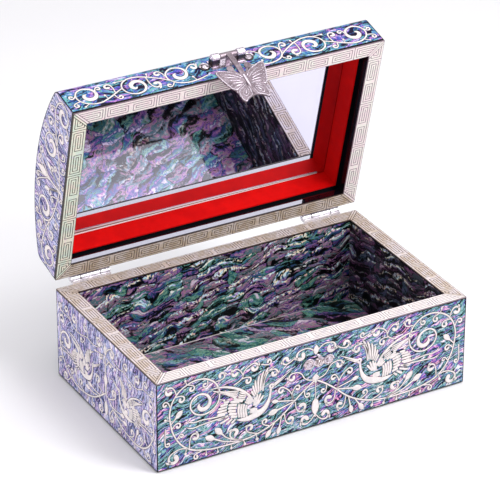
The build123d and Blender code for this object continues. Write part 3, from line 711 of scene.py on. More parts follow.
def crane():
    """Flying crane with raised wings, head to the right, about the middle of its body."""
    d = Drawing()
    # Head, bill, neck and breast
    ring = [(16.5 + 1.1 * cos(a), 10.1 + 1.1 * sin(a)) for a in (radians(k * 60) for k in range(7))]
    d.line(ring, [0.68] * 7)
    d.line([(18, 10.7), (21.6, 12.7), (25.5, 14.8), (29.6, 16.9)], [0.85, 0.55, 0.36, 0.08])
    d.line([(18.2, 9.6), (22.4, 12), (26.2, 14.3)], [0.42, 0.3, 0.08])
    d.line(
        [
            (16.1, 8.9), (15.8, 6.2), (15.2, 2.8), (13.5, -1), (11, -3.8), (7.8, -5.1), (4, -6.2),
            (0.6, -6.6), (-2.8, -6.1), (-6, -5.2),
        ],
        [0.8, 0.72, 0.95, 1.45, 1.95, 2.3, 2, 1.55, 1, 0.12],
    )
    d.line([(2.7, -2.2), (5, -2.4), (7.4, -2.6)], [1.5, 1.9, 1.4])
    # Barrel of the body in upright bands
    for k, (top, foot) in enumerate(((4.6, -4.1), (4.1, -4.7), (3.5, -5), (2.7, -4.9))):
        x = -4.5 + 1.55 * k
        d.line([(x + 0.5, top), (x - 0.1, 0), (x + 0.5, foot)], [0.7, 0.73, 0.68])
    # Rump in three rows
    d.plumes(
        [(-1.9, 5.7), (-4, 5.7), (-5.6, 4.4), (-6.2, 2.6), (-6.3, 0.7), (-6.2, -1.2), (-5.6, -3.2)],
        [(-7.9, 8.9), (-9.9, 7.5), (-11, 5.7), (-11.4, 3.8), (-11.4, 1.8), (-10.8, -0.2), (-9.6, -2.2)],
        0.95,
    )
    d.plumes(
        [(-10.4, 8), (-11.4, 6.5), (-11.9, 4.8), (-12.1, 3), (-11.9, 1.2)],
        [(-14, 8), (-16.2, 6.6), (-17.5, 4.9), (-18.3, 3.1), (-18.2, 1.3)],
        0.84,
    )
    d.plumes(
        [(-11.2, -0.9), (-10.4, -2.6), (-8.6, -3.7), (-6.6, -4.6)],
        [(-17.9, -2.2), (-16.6, -4.6), (-12.6, -6.2), (-9.2, -6.5)],
        0.78, 0.04,
    )
    leg = [0.6, 0.46, 0.42, 0.4, 0.1]
    d.line([(-13, 0.3), (-19, 0.3), (-27, 1.1), (-35, 1.7), (-37, 3.9)], leg)
    d.line([(-13, -1.6), (-20, -1.4), (-28, -1.9), (-34.6, -2.2), (-37.6, -0.6)], leg)
    # Wing that sweeps back: its edge, long quills, short ones and the shoulder
    d.line(
        [(5.1, 3.4), (2.6, 7.6), (-1.8, 12.2), (-7.9, 16), (-16.4, 18.7), (-23.4, 19)],
        [0.5, 0.72, 0.8, 0.75, 0.55, 0.1],
    )
    d.plumes(
        [(-4.4, 13), (-4.9, 11.9), (-5.3, 10.8), (-5.7, 9.8), (-6, 8.9)],
        [(-20.9, 17.6), (-18.4, 16.2), (-15.4, 14.7), (-12.2, 12.9), (-9, 10.9)],
        0.5, 0.03,
    )
    d.plumes(
        [(0.7, 9.4), (0.2, 8.4), (-0.2, 7.4), (-0.7, 6.5)],
        [(-3.9, 12), (-4.5, 10.7), (-4.9, 9.5), (-5.3, 8.3)],
        0.52, 0.03,
    )
    d.plumes(
        [(4.4, 3.4), (3.9, 2.9), (3.2, 2.5), (2.2, 2.6)],
        [(1.3, 8.6), (0.7, 7.4), (0.2, 6.2), (-0.5, 5)],
        0.56, 0.02,
    )
    # Wing that stands up: its edge, long quills and the short ones at its foot
    d.line([(11, 8.6), (11.2, 12.4), (12.2, 17), (14.6, 20.2), (19, 22.6)], [0.5, 0.78, 0.8, 0.62, 0.1])
    d.plumes(
        [(10, 9.4), (9.1, 8.9), (8.2, 8.4), (7.4, 8), (6.6, 7.4), (5.9, 6.6)],
        [(14.4, 22.9), (11.4, 21.3), (8.6, 19.4), (6.2, 17), (4.6, 14), (3.7, 10.8)],
        0.74, 0.04, 0.5,
    )
    d.plumes(
        [(5.2, 0.8), (6.1, 0.6), (7, 0.8), (7.9, 1.2)],
        [(5.9, 6.2), (7.6, 7.8), (9.6, 7.6), (11.4, 5.8)],
        0.74,
    )
    return d


def long_face_half():
    """Half of the drawing on the front, out from its middle line."""
    d = Drawing()
    d.line(
        [
            (0.6, 30.6), (6.9, 26.4), (13.1, 21.4), (20, 15.1), (27, 10.6), (36.2, 7), (46.9, 5.3),
            (57, 5.2), (70.6, 6.3), (81.9, 10.6), (89.2, 19.5), (92.2, 29.5), (92.4, 38), (88.4, 46.6),
            (81.9, 51.2), (74, 52.6), (67.2, 50.2), (62.8, 45.2), (61.5, 38.9), (63.4, 33.2), (68.2, 29.9),
            (74, 29.9), (78.6, 33.4), (79.6, 38.3), (76.6, 42.2), (71.8, 42.6), (68.3, 39.8), (67.6, 36.2),
            (69.4, 33.4), (72.6, 33), (74.6, 35.2), (74.2, 37.2),
        ],
        [VINE] * 25 + [0.62, 0.85, 1.15, 1.4, 1.4, 1.05, 0.3],
    )
    d.curls((
        (88.4, 46.7, 92.8, 49.8, 3.4, -1), (81.2, 51.1, 79, 48, 2.3, 1), (69, 50.4, 70.6, 48.2, 2, 1),
        (63.7, 48.2, 60.4, 51, 2.9, -1), (35.3, 51, 30.3, 51.4, 2.1, -1), (47.3, 45.3, 43.6, 42.9, 2.6, 1),
        (32.5, 44.6, 27, 43, 3, 1), (13.4, 48.9, 19.4, 48.9, 3.1, 1), (13.1, 20.3, 8.8, 15.8, 3.8, -1),
        (20, 14.3, 16.2, 9.6, 3.1, -1), (30, 9.8, 32.5, 13.3, 2.3, 1), (37.5, 7, 42.2, 12, 3, 1),
        (47.5, 5.6, 52, 11.6, 3.7, 1), (80.6, 10.4, 76.9, 16.4, 3.2, 1), (88.4, 18, 85.4, 19.6, 1.6, 1),
        (91.4, 25.8, 87.6, 26.7, 2.3, 1), (92.2, 39.8, 95.4, 42.4, 2.1, -1),
        (88.9, 45.4, 85.4, 42.9, 2.6, 1), (0.4, 8, 6.4, 6.6, 3.8, 1), (7.2, 26.2, 5, 22.6, 2, -1),
        (72.5, 6.3, 76.2, 3.4, 2, -1), (95.4, 27, 93.9, 16.6, 1.8, -1),
    ))
    d.curl((46.6, 46.2), (39.6, 50.2), 3.4, 1, via=[(46, 49.4)])
    d.curl((46.6, 46.2), (51.6, 49.9), 3.1, -1, via=[(47.2, 48.6)])
    d.curl((1.2, 50), (9.6, 49), 4, -1, via=[(5, 52.6)])
    d.curl((1.4, 31), (15.2, 36.6), 3, -1, via=[(6.4, 33), (10, 38)])
    d.curl((14.4, 21.6), (22.2, 30.2), 2.6, -1, via=[(15.6, 26.4)])
    d.curl((14.4, 22), (11.7, 28.9), 2.3, 1, via=[(15.2, 25.4)])
    d.curl((81.2, 10.2), (90.2, 6.2), 4.5, -1, via=[(86, 11.4)])
    d.line([(52.6, 42.6), (48.6, 44.4), (46.6, 46.4)], [STEM] * 3)
    d.bud((13.7, 21.4), (28.4, 24.9), 1.4)
    d.bud((13.7, 20.8), (30.6, 17), 2)
    d.bud((26.2, 10.8), (32, 2.2), 1.7)
    d.bud((21.9, 13.6), (24.2, 2.2), 1.6)
    d.bud((47.5, 5.4), (64.4, 18.3), 2, via=[(56.9, 10)])
    d.bud((46.9, 5.3), (70.6, 14.5), 2, via=[(57.5, 7.6)])
    d.bud((92, 28.6), (84.7, 36.1), 1.8, via=[(89.8, 31)])
    d.berries((
        (70, 6.2, 70, 3, 0.8), (62.8, 5.4, 62.6, 2.6, 0.8), (54.2, 5.2, 54, 2.4, 0.85),
        (46.2, 5.3, 45.4, 2.4, 1), (38.1, 6.7, 37.6, 3.3, 1.1), (81.9, 51.2, 82.8, 54, 0.8),
        (92.4, 31.4, 95.4, 32.6, 0.8), (61.9, 36.4, 58.6, 34.6, 0.8), (82.2, 10.8, 83, 7.4, 0.9),
    ))
    d.add(crane(), (45, 25), flip=-1)
    return d


def long_face():
    """Whole drawing of the front: a pair of cranes in scrolls that rise from a bulb."""
    d = long_face_half().mirrored(MIDDLE)
    d.upright(MIDDLE, [53.6, 52.2, 50.4, 48.6, 47.4], [0.1, 1.2, 2, 1.4, 0.3])
    d.upright(MIDDLE, [34.6, 33.2, 32.4, 31.2, 28.4], [0.5, 1.7, 2.4, 1.6, HAIR])
    d.upright(MIDDLE, [28.8, 22, 18.4], [HAIR] * 3)
    d.upright(MIDDLE, [19, 17, 13.2, 10.4, 8.4, 6.6], [0.3, 1.9, 2.6, 1.9, 0.6, 0.3])
    return d


def lid_band():
    """Wave of volutes on the front of the lid, three each side of the latch."""
    half = Drawing()
    half.line(
        [
            (13.6, 6.2), (20.6, 4.4), (29.6, 4.5), (35.4, 8.2), (36.6, 13.2), (33.4, 17.5), (28.6, 18.2),
            (24.7, 15.6), (24.5, 11.4), (27.8, 8.6), (31, 9.6), (31.8, 12.4), (30.4, 13.6),
        ],
        [STEM] + [VINE] * 5 + [0.6, 0.7, 0.95, 1.3, 1.4, 1.05, 0.3],
    )
    half.line(
        [
            (35.8, 8.8), (42, 13.2), (48, 16.4), (54.6, 18.3), (60.2, 17.6), (64.2, 13.8), (64.4, 9.2),
            (61.2, 5.4), (56.6, 4.6), (52.4, 6.8), (51.2, 11), (53.4, 14.4), (57.2, 14.2), (59.2, 11.4),
            (57.6, 9.2), (56, 10),
        ],
        [STEM] + [VINE] * 7 + [0.6, 0.7, 0.85, 1.15, 1.35, 1.3, 0.95, 0.3],
    )
    half.line(
        [
            (64.6, 11.8), (69.4, 9.4), (75.6, 6.2), (82, 4.2), (88.4, 5.6), (92.2, 9.6), (92.4, 14.2),
            (89.2, 17.8), (84.6, 17.9), (81, 14.8), (81, 11), (84, 8.6), (87.4, 9.6), (88, 12.6),
            (86.2, 13.4),
        ],
        [STEM] + [VINE] * 7 + [0.65, 0.85, 1.1, 1.4, 1.4, 1, 0.3],
    )
    half.curls((
        (92.2, 15, 95.4, 13.6, 1.9, 1), (91.6, 8.8, 95.2, 6, 2, -1), (70, 9.2, 72.2, 15.4, 2.7, -1),
        (71.6, 8.4, 68.8, 5.2, 2, -1), (48, 16, 44.6, 8.6, 3.4, -1), (36.8, 12.6, 40.4, 16.6, 2.5, -1),
        (34.6, 6.8, 38.2, 5.2, 1.9, 1), (24, 13.6, 18, 15.6, 2.9, 1), (80.6, 12.6, 77.8, 15.8, 1.9, 1),
    ))
    half.berries((
        (76, 6.2, 76.6, 9.2, 0.8), (21.4, 4.6, 22.2, 7.6, 0.8), (47, 16.2, 46.4, 18.4, 0.7),
        (60.6, 17.6, 66.6, 17.6, 0.8), (88, 5.4, 91.2, 3.6, 0.7),
    ))
    return half.mirrored(MIDDLE)


def short_face():
    """Drawing of an end of the base: two smaller cranes either side of a stem."""
    half = Drawing()
    half.line(
        [
            (0.6, 19), (4, 16.6), (9, 12.8), (17, 8.4), (27, 5.8), (37, 5.4), (46, 8.2), (53, 14.4),
            (56.8, 22), (56.4, 29), (52.6, 33), (47.6, 33), (45, 29.6), (46.4, 26.4), (49.6, 26.4),
            (51, 28.6), (49.6, 30),
        ],
        [STEM] + [VINE] * 9 + [0.7, 0.9, 1.2, 1.5, 1.5, 1.1, 0.3],
    )
    half.add(crane(), (28.5, 22), 0.76, flip=-1)
    half.curls((
        (0.6, 46.4, 7.6, 48.4, 3.6, -1), (1, 38, 5.6, 40.4, 2.2, -1), (3.4, 17.4, 9.4, 23.8, 3.2, 1),
        (8.4, 13.2, 7, 6.6, 3.2, 1), (17, 8.4, 16, 3.9, 2, -1), (27, 5.8, 31.4, 10.4, 2.6, 1),
        (44, 7.2, 50.6, 5.2, 3.2, 1), (53.4, 15.2, 57.4, 12.4, 1.8, -1), (40, 6, 42.4, 11.6, 2.2, 1),
        (56.6, 30, 54.2, 40.4, 3.2, 1), (21.4, 44.4, 24.6, 48.6, 2.8, -1), (35.6, 42, 38.4, 47.6, 3.2, -1),
        (44.6, 45.6, 48.4, 49.6, 2.5, -1), (52, 45.8, 56, 48.6, 2.2, 1), (26, 40.6, 29.6, 39.4, 1.9, 1),
        (36.4, 27.8, 40.6, 24.6, 2.2, 1),
    ))
    top = [(8.6, 45), (15.4, 43.6), (22, 44.4), (30, 42.4), (38, 42.2), (45, 45.4), (52.6, 45.6)]
    half.line(top, [HAIR] * 7)
    half.bud((7.4, 14.4), (22.4, 15.4), 1.5, via=[(13, 14.4)])
    half.bud((9.2, 12.8), (25.4, 11.8), 1.5, via=[(15, 11.8)])
    half.bud((34, 5.4), (39, 16.4), 1.4)
    half.berries((
        (23, 6.6, 23.4, 3, 0.8), (34, 5.2, 34.4, 2.4, 0.8), (50, 11.2, 46.8, 13.4, 0.8),
        (56.8, 24, 54, 25.2, 0.7), (57, 20.6, 59.2, 18.6, 0.7), (1.4, 43, 12.4, 41.2, 0.9),
    ))
    d = half.mirrored()
    d.upright(0, [51, 49.4, 47.6, 45.8, 44.2], [0.1, 1.2, 1.9, 1.4, 0.4])
    d.upright(0, [45, 38, 31.4], [HAIR, STEM, HAIR])
    d.upright(0, [31.8, 30, 27.8, 25, 18], [0.3, 1.7, 2.3, 1, STEM])
    d.upright(0, [14.6, 12.6, 9.4, 6.8, 5.2], [0.2, 1.8, 2.3, 1.7, 0.3])
    return d


def lid_end():
    """Drawing of an end of the lid: four volutes and a tall bud under the curve."""
    half = Drawing()
    half.line(
        [
            (0.6, 6.6), (7, 7.6), (14, 9.2), (22, 11.6), (28, 15.6), (30.4, 21.2), (27.6, 26.6), (21.4, 28),
            (16.8, 24.6), (17, 19.2), (21, 16.4), (25.2, 18.2), (25.6, 22), (22.8, 23.4),
        ],
        [STEM] + [VINE] * 7 + [0.8, 1.1, 1.5, 1.7, 1.3, 0.3],
    )
    half.line(
        [
            (26.6, 14.2), (34.6, 17.2), (43, 19.6), (50.6, 19.8), (56, 16.6), (57.6, 11.2), (54.4, 6.4),
            (49, 5.4), (45.2, 8.6), (46, 13), (50, 14.6), (53, 12.2), (51.8, 9.6),
        ],
        [STEM] + [VINE] * 6 + [0.75, 0.95, 1.3, 1.6, 1.3, 0.3],
    )
    half.curls((
        (0.8, 21, 12, 31, 2.7, -1), (1, 22, 6.4, 32.4, 1.9, -1), (1, 8, 8.4, 17, 2.2, -1),
        (6, 7.4, 11.2, 13.4, 2.2, -1), (13, 9, 16.2, 4.9, 2.4, 1), (21, 11.2, 25, 6.4, 2.6, 1),
        (27.4, 14.4, 34.4, 10.6, 3.6, -1), (38, 18.2, 37.6, 24.4, 3.2, 1), (29.6, 23.4, 30.4, 29.4, 2.2, 1),
        (46.4, 6.6, 40.4, 5, 2.2, -1), (5.4, 7.2, 4.6, 3.6, 1.6, -1), (50, 19.8, 46.6, 24.4, 1.9, 1),
    ))
    half.bud((1.4, 9), (9.4, 23.6), 1.6, via=[(4.6, 14.6)])
    half.berries((
        (20, 27.8, 20.4, 31.2, 0.9), (42.4, 19.4, 42.8, 16.4, 0.8), (33.4, 16.6, 31.4, 20, 0.8),
        (57.6, 11.4, 58.9, 14.4, 0.6), (13.6, 9.2, 17, 12.4, 0.9),
    ))
    d = half.mirrored()
    d.upright(0, [33.6, 31.4, 27.4, 23.8, 21], [0.2, 1.7, 2.8, 2, 0.8])
    d.upright(0, [21.6, 20.2, 18.6, 14, 4], [0.7, 1.5, 0.7, 0.7, 0.8])
    return d


# Building the inlay


class Panel:
    """A face that a drawing is laid on: flat, or wrapped over the crown."""

    def __init__(self, stand, crown=False):
        self.stand = stand
        self.crown = crown

    def put(self, point):
        if not self.crown:
            return self.stand @ point
        angle = point.y / CROWN_RADIUS
        radius = CROWN_RADIUS + point.z
        return self.stand @ Vector((point.x, radius * sin(angle), CROWN_CENTRE_Z + radius * cos(angle)))


def placed(name, data):
    """New object in the scene."""
    holder = bpy.data.objects.new(name, data)
    bpy.context.scene.collection.objects.link(holder)
    return holder


def written(shape, mesh):
    """Mesh with a finished shape in it, its faces outward."""
    bmesh.ops.recalc_face_normals(shape, faces=shape.faces)
    shape.to_mesh(mesh)
    shape.free()
    return mesh


def new_piece(name, mesh, material, body):
    """Piece of the scene from a finished mesh."""
    piece = placed(name, mesh)
    mesh.materials.clear()
    mesh.materials.append(material)
    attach(piece, body)
    return piece


def bar_mesh(name, drawing, smooth, sides):
    """Mesh of a drawing's lines as round bars of their own widths, still in millimetres."""
    curve = bpy.data.curves.new(name, "CURVE")
    curve.dimensions = "3D"
    curve.bevel_depth = 1.0
    curve.bevel_resolution = sides
    curve.resolution_u = smooth
    curve.use_fill_caps = True
    for knots, widths in drawing.lines:
        spline = curve.splines.new("BEZIER")
        spline.bezier_points.add(len(knots) - 1)
        for knot, place, width in zip(spline.bezier_points, knots, widths):
            knot.co = (place.x, place.y, 0)
            knot.radius = width
            knot.handle_left_type = "AUTO"
            knot.handle_right_type = "AUTO"
    holder = placed(name, curve)
    shaped = holder.evaluated_get(bpy.context.evaluated_depsgraph_get())
    mesh = bpy.data.meshes.new_from_object(shaped)
    bpy.data.objects.remove(holder)
    bpy.data.curves.remove(curve)
    return mesh


def inlay(
    name, drawing, panel, material, body, proud=INLAY_PROUD, level=0.0, rise=1.0, smooth=4, sides=2
):
    """Drawing laid on a panel as flat-topped shapes with sloped shoulders."""
    mesh = bar_mesh(name, drawing, smooth, sides)
    for v in mesh.vertices:
        height = min(max(v.co.z * rise, -INLAY_FOOT), proud)
        v.co = panel.put(Vector((v.co.x, v.co.y, level + height)))
    shape = bmesh.new()
    shape.from_mesh(mesh)
    bmesh.ops.remove_doubles(shape, verts=shape.verts, dist=SAME_SPOT * MM)
    return new_piece(name, written(shape, mesh), material, body)


def outline_and_shadow(drawing):
    """The same drawing, a little wider all round."""
    wider = Drawing()
    for knots, widths in drawing.lines:
        wider.line(knots, [w + EDGE_LINE for w in widths])
    return wider


def shell_picture(name, drawing, panel, material, body):
    """White inlay with a dark line round it and between its parts: partly engraved line, partly painted
    shadow.
    """
    inlay(f"{name}_inlay", drawing, panel, material, body)
    wider = outline_and_shadow(drawing)
    inlay(f"{name}_lines", wider, panel, line_and_shadow, body, EDGE_PROUD, smooth=3, sides=0)


INLAY_COLOURS = ["#e6d9dc", "#dacbd4", "#d8d2d2", "#ece0df", "#d6c6d6", "#e2d8d4"]
# Dark line round the inlay: partly engraved line, partly painted shadow
line_and_shadow = speckled(
    "inlay line and painted shadow", BASE_STAND, (5, 4, 0.65), ("#1a0d12", "#452a30"), (0.4, 0.2), (0.4, 0.7),
    Specular_IOR_Level=0.2,
)
base_white = white_shell("inlay white on base", BASE_STAND, INLAY_COLOURS)
lid_white = white_shell("inlay white on lid", LID_STAND, INLAY_COLOURS)

BACK_SCALE = 0.79
CROWN_FOOT = 57.0
front_drawing, end_drawing, band, end_band = long_face(), short_face(), lid_band(), lid_end()
smaller, crown = Drawing(), Drawing()
smaller.add(front_drawing, (0, 1.0), BACK_SCALE)
crown.add(front_drawing, (0, -CROWN_FOOT))
crown.add(front_drawing, (0, CROWN_FOOT), turn=pi)
base_drawings = {"front": front_drawing, "back": smaller, "left": end_drawing, "right": end_drawing}
for side in SIDES:
    shell_picture(side, base_drawings[side], Panel(BASE_FACE[side]), base_white, "base")
for side in SIDES:
    drawing = band if is_long(side) else end_band
    shell_picture(f"lid_{side}", drawing, Panel(LID_FACE[side]), lid_white, "lid")
shell_picture("crown", crown, Panel(LID_STAND, crown=True), lid_white, "lid")


# Fret on the rims

FRET_CELL = 16.0
FRET_UNITS = 10
FRET_BANDS = 6
FRET_CUT = 0.5
FRET_MARGIN = 0.3
FRET_PROUD = 0.07
FRET_FOOT = 0.02
# At a mitre the strips stop, and a bare line is cut between these distances from it
MITRE_GAP = 0.22
MITRE_BAR = 1.15
MITRE_CUT = 1.6
# Cut line of one cell: (steps across the strip, steps along it)
FRET_LINE = [(1, 0), (1, 9), (5, 9), (5, 1), (2, 1), (2, 8), (4, 8), (4, 2), (3, 2), (3, 7)]


def fret_steps(width):
    """Length of one step of the fret, across and along."""
    return (width - 2 * FRET_MARGIN + FRET_CUT) / FRET_BANDS, FRET_CELL / FRET_UNITS


def fret_is_cut(across, along, width):
    """Whether a spot of the strip lies in a cut line of the fret."""
    step_across, step_along = fret_steps(width)
    cell, rest = divmod(along, FRET_CELL)
    if int(cell) % 2:
        rest = FRET_CELL - rest
    row = (across - FRET_MARGIN + FRET_CUT / 2) / step_across
    place = rest / step_along
    half_row = FRET_CUT / 2 / step_across
    half_place = FRET_CUT / 2 / step_along
    if abs(place - FRET_UNITS) < half_place:
        return True
    for (r0, p0), (r1, p1) in zip(FRET_LINE, FRET_LINE[1:]):
        in_row = min(r0, r1) - half_row < row < max(r0, r1) + half_row
        in_place = min(p0, p1) - half_place < place < max(p0, p1) + half_place
        if in_row and in_place:
            return True
    return False


def fret_stops(width, length):
    """Where the grid of a strip is divided, across and along."""
    step_across, step = fret_steps(width)
    across = [FRET_MARGIN]
    for k in range(1, FRET_BANDS):
        middle = FRET_MARGIN - FRET_CUT / 2 + k * step_across
        across += [middle - FRET_CUT / 2, middle + FRET_CUT / 2]
    across.append(width - FRET_MARGIN)
    count = int(length / 2 / step)
    along = [-length / 2]
    for k in range(-count, count + 1):
        along += [k * step - FRET_CUT / 2, k * step + FRET_CUT / 2]
    along.append(length / 2)
    return across, along


def fret_strip(name, stand, length, width, body, material):
    """Raised bands of one strip; its stand has x along, y across from the outer edge and z out."""
    across, along = fret_stops(width, length)
    shape = bmesh.new()
    bmesh.ops.create_grid(shape, x_segments=len(along) - 1, y_segments=len(across) - 1, size=0.5)
    for v in shape.verts:
        column = round((v.co.x + 0.5) * (len(along) - 1))
        row = round((v.co.y + 0.5) * (len(across) - 1))
        v.co = (along[column], across[row], 0)
    slant = 1 / 2 ** 0.5
    for end in (-1, 1):
        corner = Vector((end * length / 2, 0, 0))
        outwards = Vector((end * slant, slant, 0))
        for inset, clear in ((MITRE_GAP, True), (MITRE_BAR, False), (MITRE_CUT, False)):
            geometry = shape.verts[:] + shape.edges[:] + shape.faces[:]
            spot = corner - outwards * inset
            bmesh.ops.bisect_plane(shape, geom=geometry, plane_co=spot, plane_no=outwards, clear_outer=clear)
    cut = []
    for f in shape.faces:
        spot = f.calc_center_median()
        from_mitre = (length / 2 - abs(spot.x) - spot.y) * slant
        if from_mitre >= MITRE_BAR and (from_mitre < MITRE_CUT or fret_is_cut(spot.y, spot.x, width)):
            cut.append(f)
    bmesh.ops.delete(shape, geom=cut, context="FACES")
    raised = bmesh.ops.extrude_face_region(shape, geom=shape.faces[:], use_keep_orig=True)
    tops = [g for g in raised["geom"] if isinstance(g, bmesh.types.BMVert)]
    bmesh.ops.translate(shape, verts=tops, vec=(0, 0, FRET_PROUD + FRET_FOOT))
    bmesh.ops.translate(shape, verts=shape.verts, vec=(0, 0, -FRET_FOOT))
    bmesh.ops.transform(shape, matrix=stand, verts=shape.verts)
    return new_piece(name, written(shape, bpy.data.meshes.new(name)), material, body)


def rim_stand(stand, side, half_x, half_y, level, out):
    """Stand of one rim strip, from its outer edge inwards, facing up or down."""
    outward = OUTWARD[side]
    place = outward * (half_y if is_long(side) else half_x) + UP * level
    return stand @ axes((1, 0, 0) if is_long(side) else (0, 1, 0), -outward, UP * out, place)


FRONT_FRET_COLOURS = ["#e8e0e4", "#dcd4dc", "#ece4e0", "#d8d0d8", "#e6dade"]
BASE_FRET_COLOURS = ["#dcd0ca", "#ccbcac", "#dcd2d6", "#c6b4a2", "#d4c4cc", "#c6c8bc"]
LID_FRET_COLOURS = ["#cfbdb2", "#bca88e", "#d6cac4", "#b8a48a", "#ccb6bc", "#b8beb0"]
PALE_FRET_COLOURS = ["#ece0dc", "#e0d0d0", "#e6e4dc", "#ecd8dc", "#dcdcd8", "#f0e4dc"]
LEFT_FRET_COLOURS = ["#e4dccc", "#dccce0", "#ccdccc", "#e8e0d0", "#e4ccd4", "#ccd8d4"]
base_fret_white = white_shell("base fret white", BASE_STAND, BASE_FRET_COLOURS)
front_fret_white = white_shell("front fret white", BASE_STAND, FRONT_FRET_COLOURS)
lid_pale = white_shell("lid fret pale", LID_STAND, PALE_FRET_COLOURS)
lid_whites = {
    "front": lid_pale,
    "right": lid_pale,
    "left": white_shell("lid fret coloured", LID_STAND, LEFT_FRET_COLOURS),
    "back": white_shell("lid fret white", LID_STAND, LID_FRET_COLOURS),
}
rim_low, rim_high = span("base_front_rim", BASE_STAND)
lid_rim_low, lid_rim_high = span("lid_front_rim", LID_STAND)
RIM_WIDTH = rim_high.y - rim_low.y
LID_RIM_WIDTH = lid_rim_high.y - lid_rim_low.y
for side in SIDES:
    stand = rim_stand(BASE_STAND, side, BASE_HALF_X, BASE_HALF_Y, rim_high.z, 1)
    length = 2 * (BASE_HALF_X if is_long(side) else BASE_HALF_Y)
    white = front_fret_white if side == "front" else base_fret_white
    fret_strip(f"base_{side}_fret", stand, length, RIM_WIDTH, "base", white)
    stand = rim_stand(LID_STAND, side, LID_HALF_X, LID_HALF_Y, lid_rim_low.z, -1)
    length = 2 * (LID_HALF_X if is_long(side) else LID_HALF_Y)
    fret_strip(f"lid_{side}_fret", stand, length, LID_RIM_WIDTH, "lid", lid_whites[side])


# Mirror glass

# How far its edge is hidden and falls away, its dark edge, and how far short the frosted lines stop
GLASS_HIDDEN = 2.5
GLASS_FALL = 0.3
GLASS_EDGE = 0.35
STRIPS_SHORT = 5.0
GAP_PROUD = 0.04
FROST_PROUD = 0.1


def mirror_glass():
    """Glass whose seen face has a narrow dark edge all round."""
    low, high = span("mirror_glass", LID_STAND)
    size = high - low
    shape = bmesh.new()
    bmesh.ops.create_cube(shape, size=1.0)
    plate = Matrix.Translation((low + high) / 2) @ Matrix.Diagonal((*size, 1))
    bmesh.ops.transform(shape, matrix=plate, verts=shape.verts)
    seen = min(shape.faces, key=lambda f: f.calc_center_median().z)
    rim = seen.verts[:]
    bmesh.ops.inset_region(shape, faces=[seen], thickness=GLASS_HIDDEN)
    bmesh.ops.translate(shape, verts=rim, vec=(0, 0, GLASS_FALL))
    for f in shape.faces:
        f.material_index = 1
    bmesh.ops.inset_region(shape, faces=[seen], thickness=GLASS_EDGE)
    seen.material_index = 0
    bmesh.ops.transform(shape, matrix=LID_STAND, verts=shape.verts)
    mesh = written(shape, bpy.data.meshes.new("mirror_plate"))
    silver = speckled(
        "mirror silver", LID_STAND, (26, 5, 0.6), ("#e4e3f2", "#dad8ec"), (0.012, 0.02), Metallic=1.0
    )
    piece = new_piece("mirror_plate", mesh, silver, "lid")
    mesh.materials.append(black)
    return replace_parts(piece, "mirror_glass")


def mirror_strips():
    """Two frosted lines along the back edge of the glass, bare card between; they narrow to the right."""
    low, high = span("mirror_glass", LID_STAND)
    lining_low = span("lid_back_lining", LID_STAND)[0]
    left, right = low.x + GLASS_HIDDEN + 0.2, high.x - GLASS_HIDDEN - STRIPS_SHORT
    middle = (left + right) / 2
    under, frosted = Drawing(), Drawing()
    under.line([(left, 1.7), (middle, 1.3), (right, 0.6)], [1.6, 1.2, 0.5])
    frosted.line([(left, 0.75), (middle, 0.6), (right, 0.4)], [0.72, 0.5, 0.2])
    frosted.line([(left, 2.75), (middle, 2.1), (right, 1.1)], [0.6, 0.4, 0.12])
    panel = Panel(LID_STAND @ axes((1, 0, 0), (0, -1, 0), (0, 0, -1), (0, lining_low.y, low.z)))
    frost = speckled(
        "ground edge", LID_STAND, (0.5, 4, 0.7), ("#ffffff", "#dcdbe4"), (0.5, 0.2), relief=(0.02, 0.5)
    )
    inlay("mirror_gap", under, panel, card, "lid", GAP_PROUD, smooth=1, sides=0)
    inlay("mirror_edge", frosted, panel, frost, "lid", FROST_PROUD, smooth=1)


mirror_glass()
mirror_strips()


# Pale line on the floor sheet along the foot of the back wall, narrowing to the right

floor_low, floor_high = span("base_floor_shell", BASE_STAND)
SEAM_SHORT = 20.0
SEAM_FROM_WALL = 0.4
SEAM_LINE = 0.34
SEAM_PROUD = 0.12
seam = Drawing()
seam.line([(floor_low.x + 1.0, 0), (0, 0), (floor_high.x - SEAM_SHORT, 0)], [SEAM_LINE, SEAM_LINE, 0.1])
seam_panel = Panel(BASE_STAND @ Matrix.Translation((0, floor_high.y - SEAM_FROM_WALL, floor_high.z)))
inlay("floor_seam", seam, seam_panel, base_white, "base", SEAM_PROUD, smooth=1)


# Raised work on the butterfly, the latch and the catch

# Half width of the chased lines, how far they and the spine stand out, and how flat the spine is
CHASED_LINE = 0.32
CHASED_PROUD = 0.36
SPINE_PROUD = 0.65
SPINE_RISE = 0.7


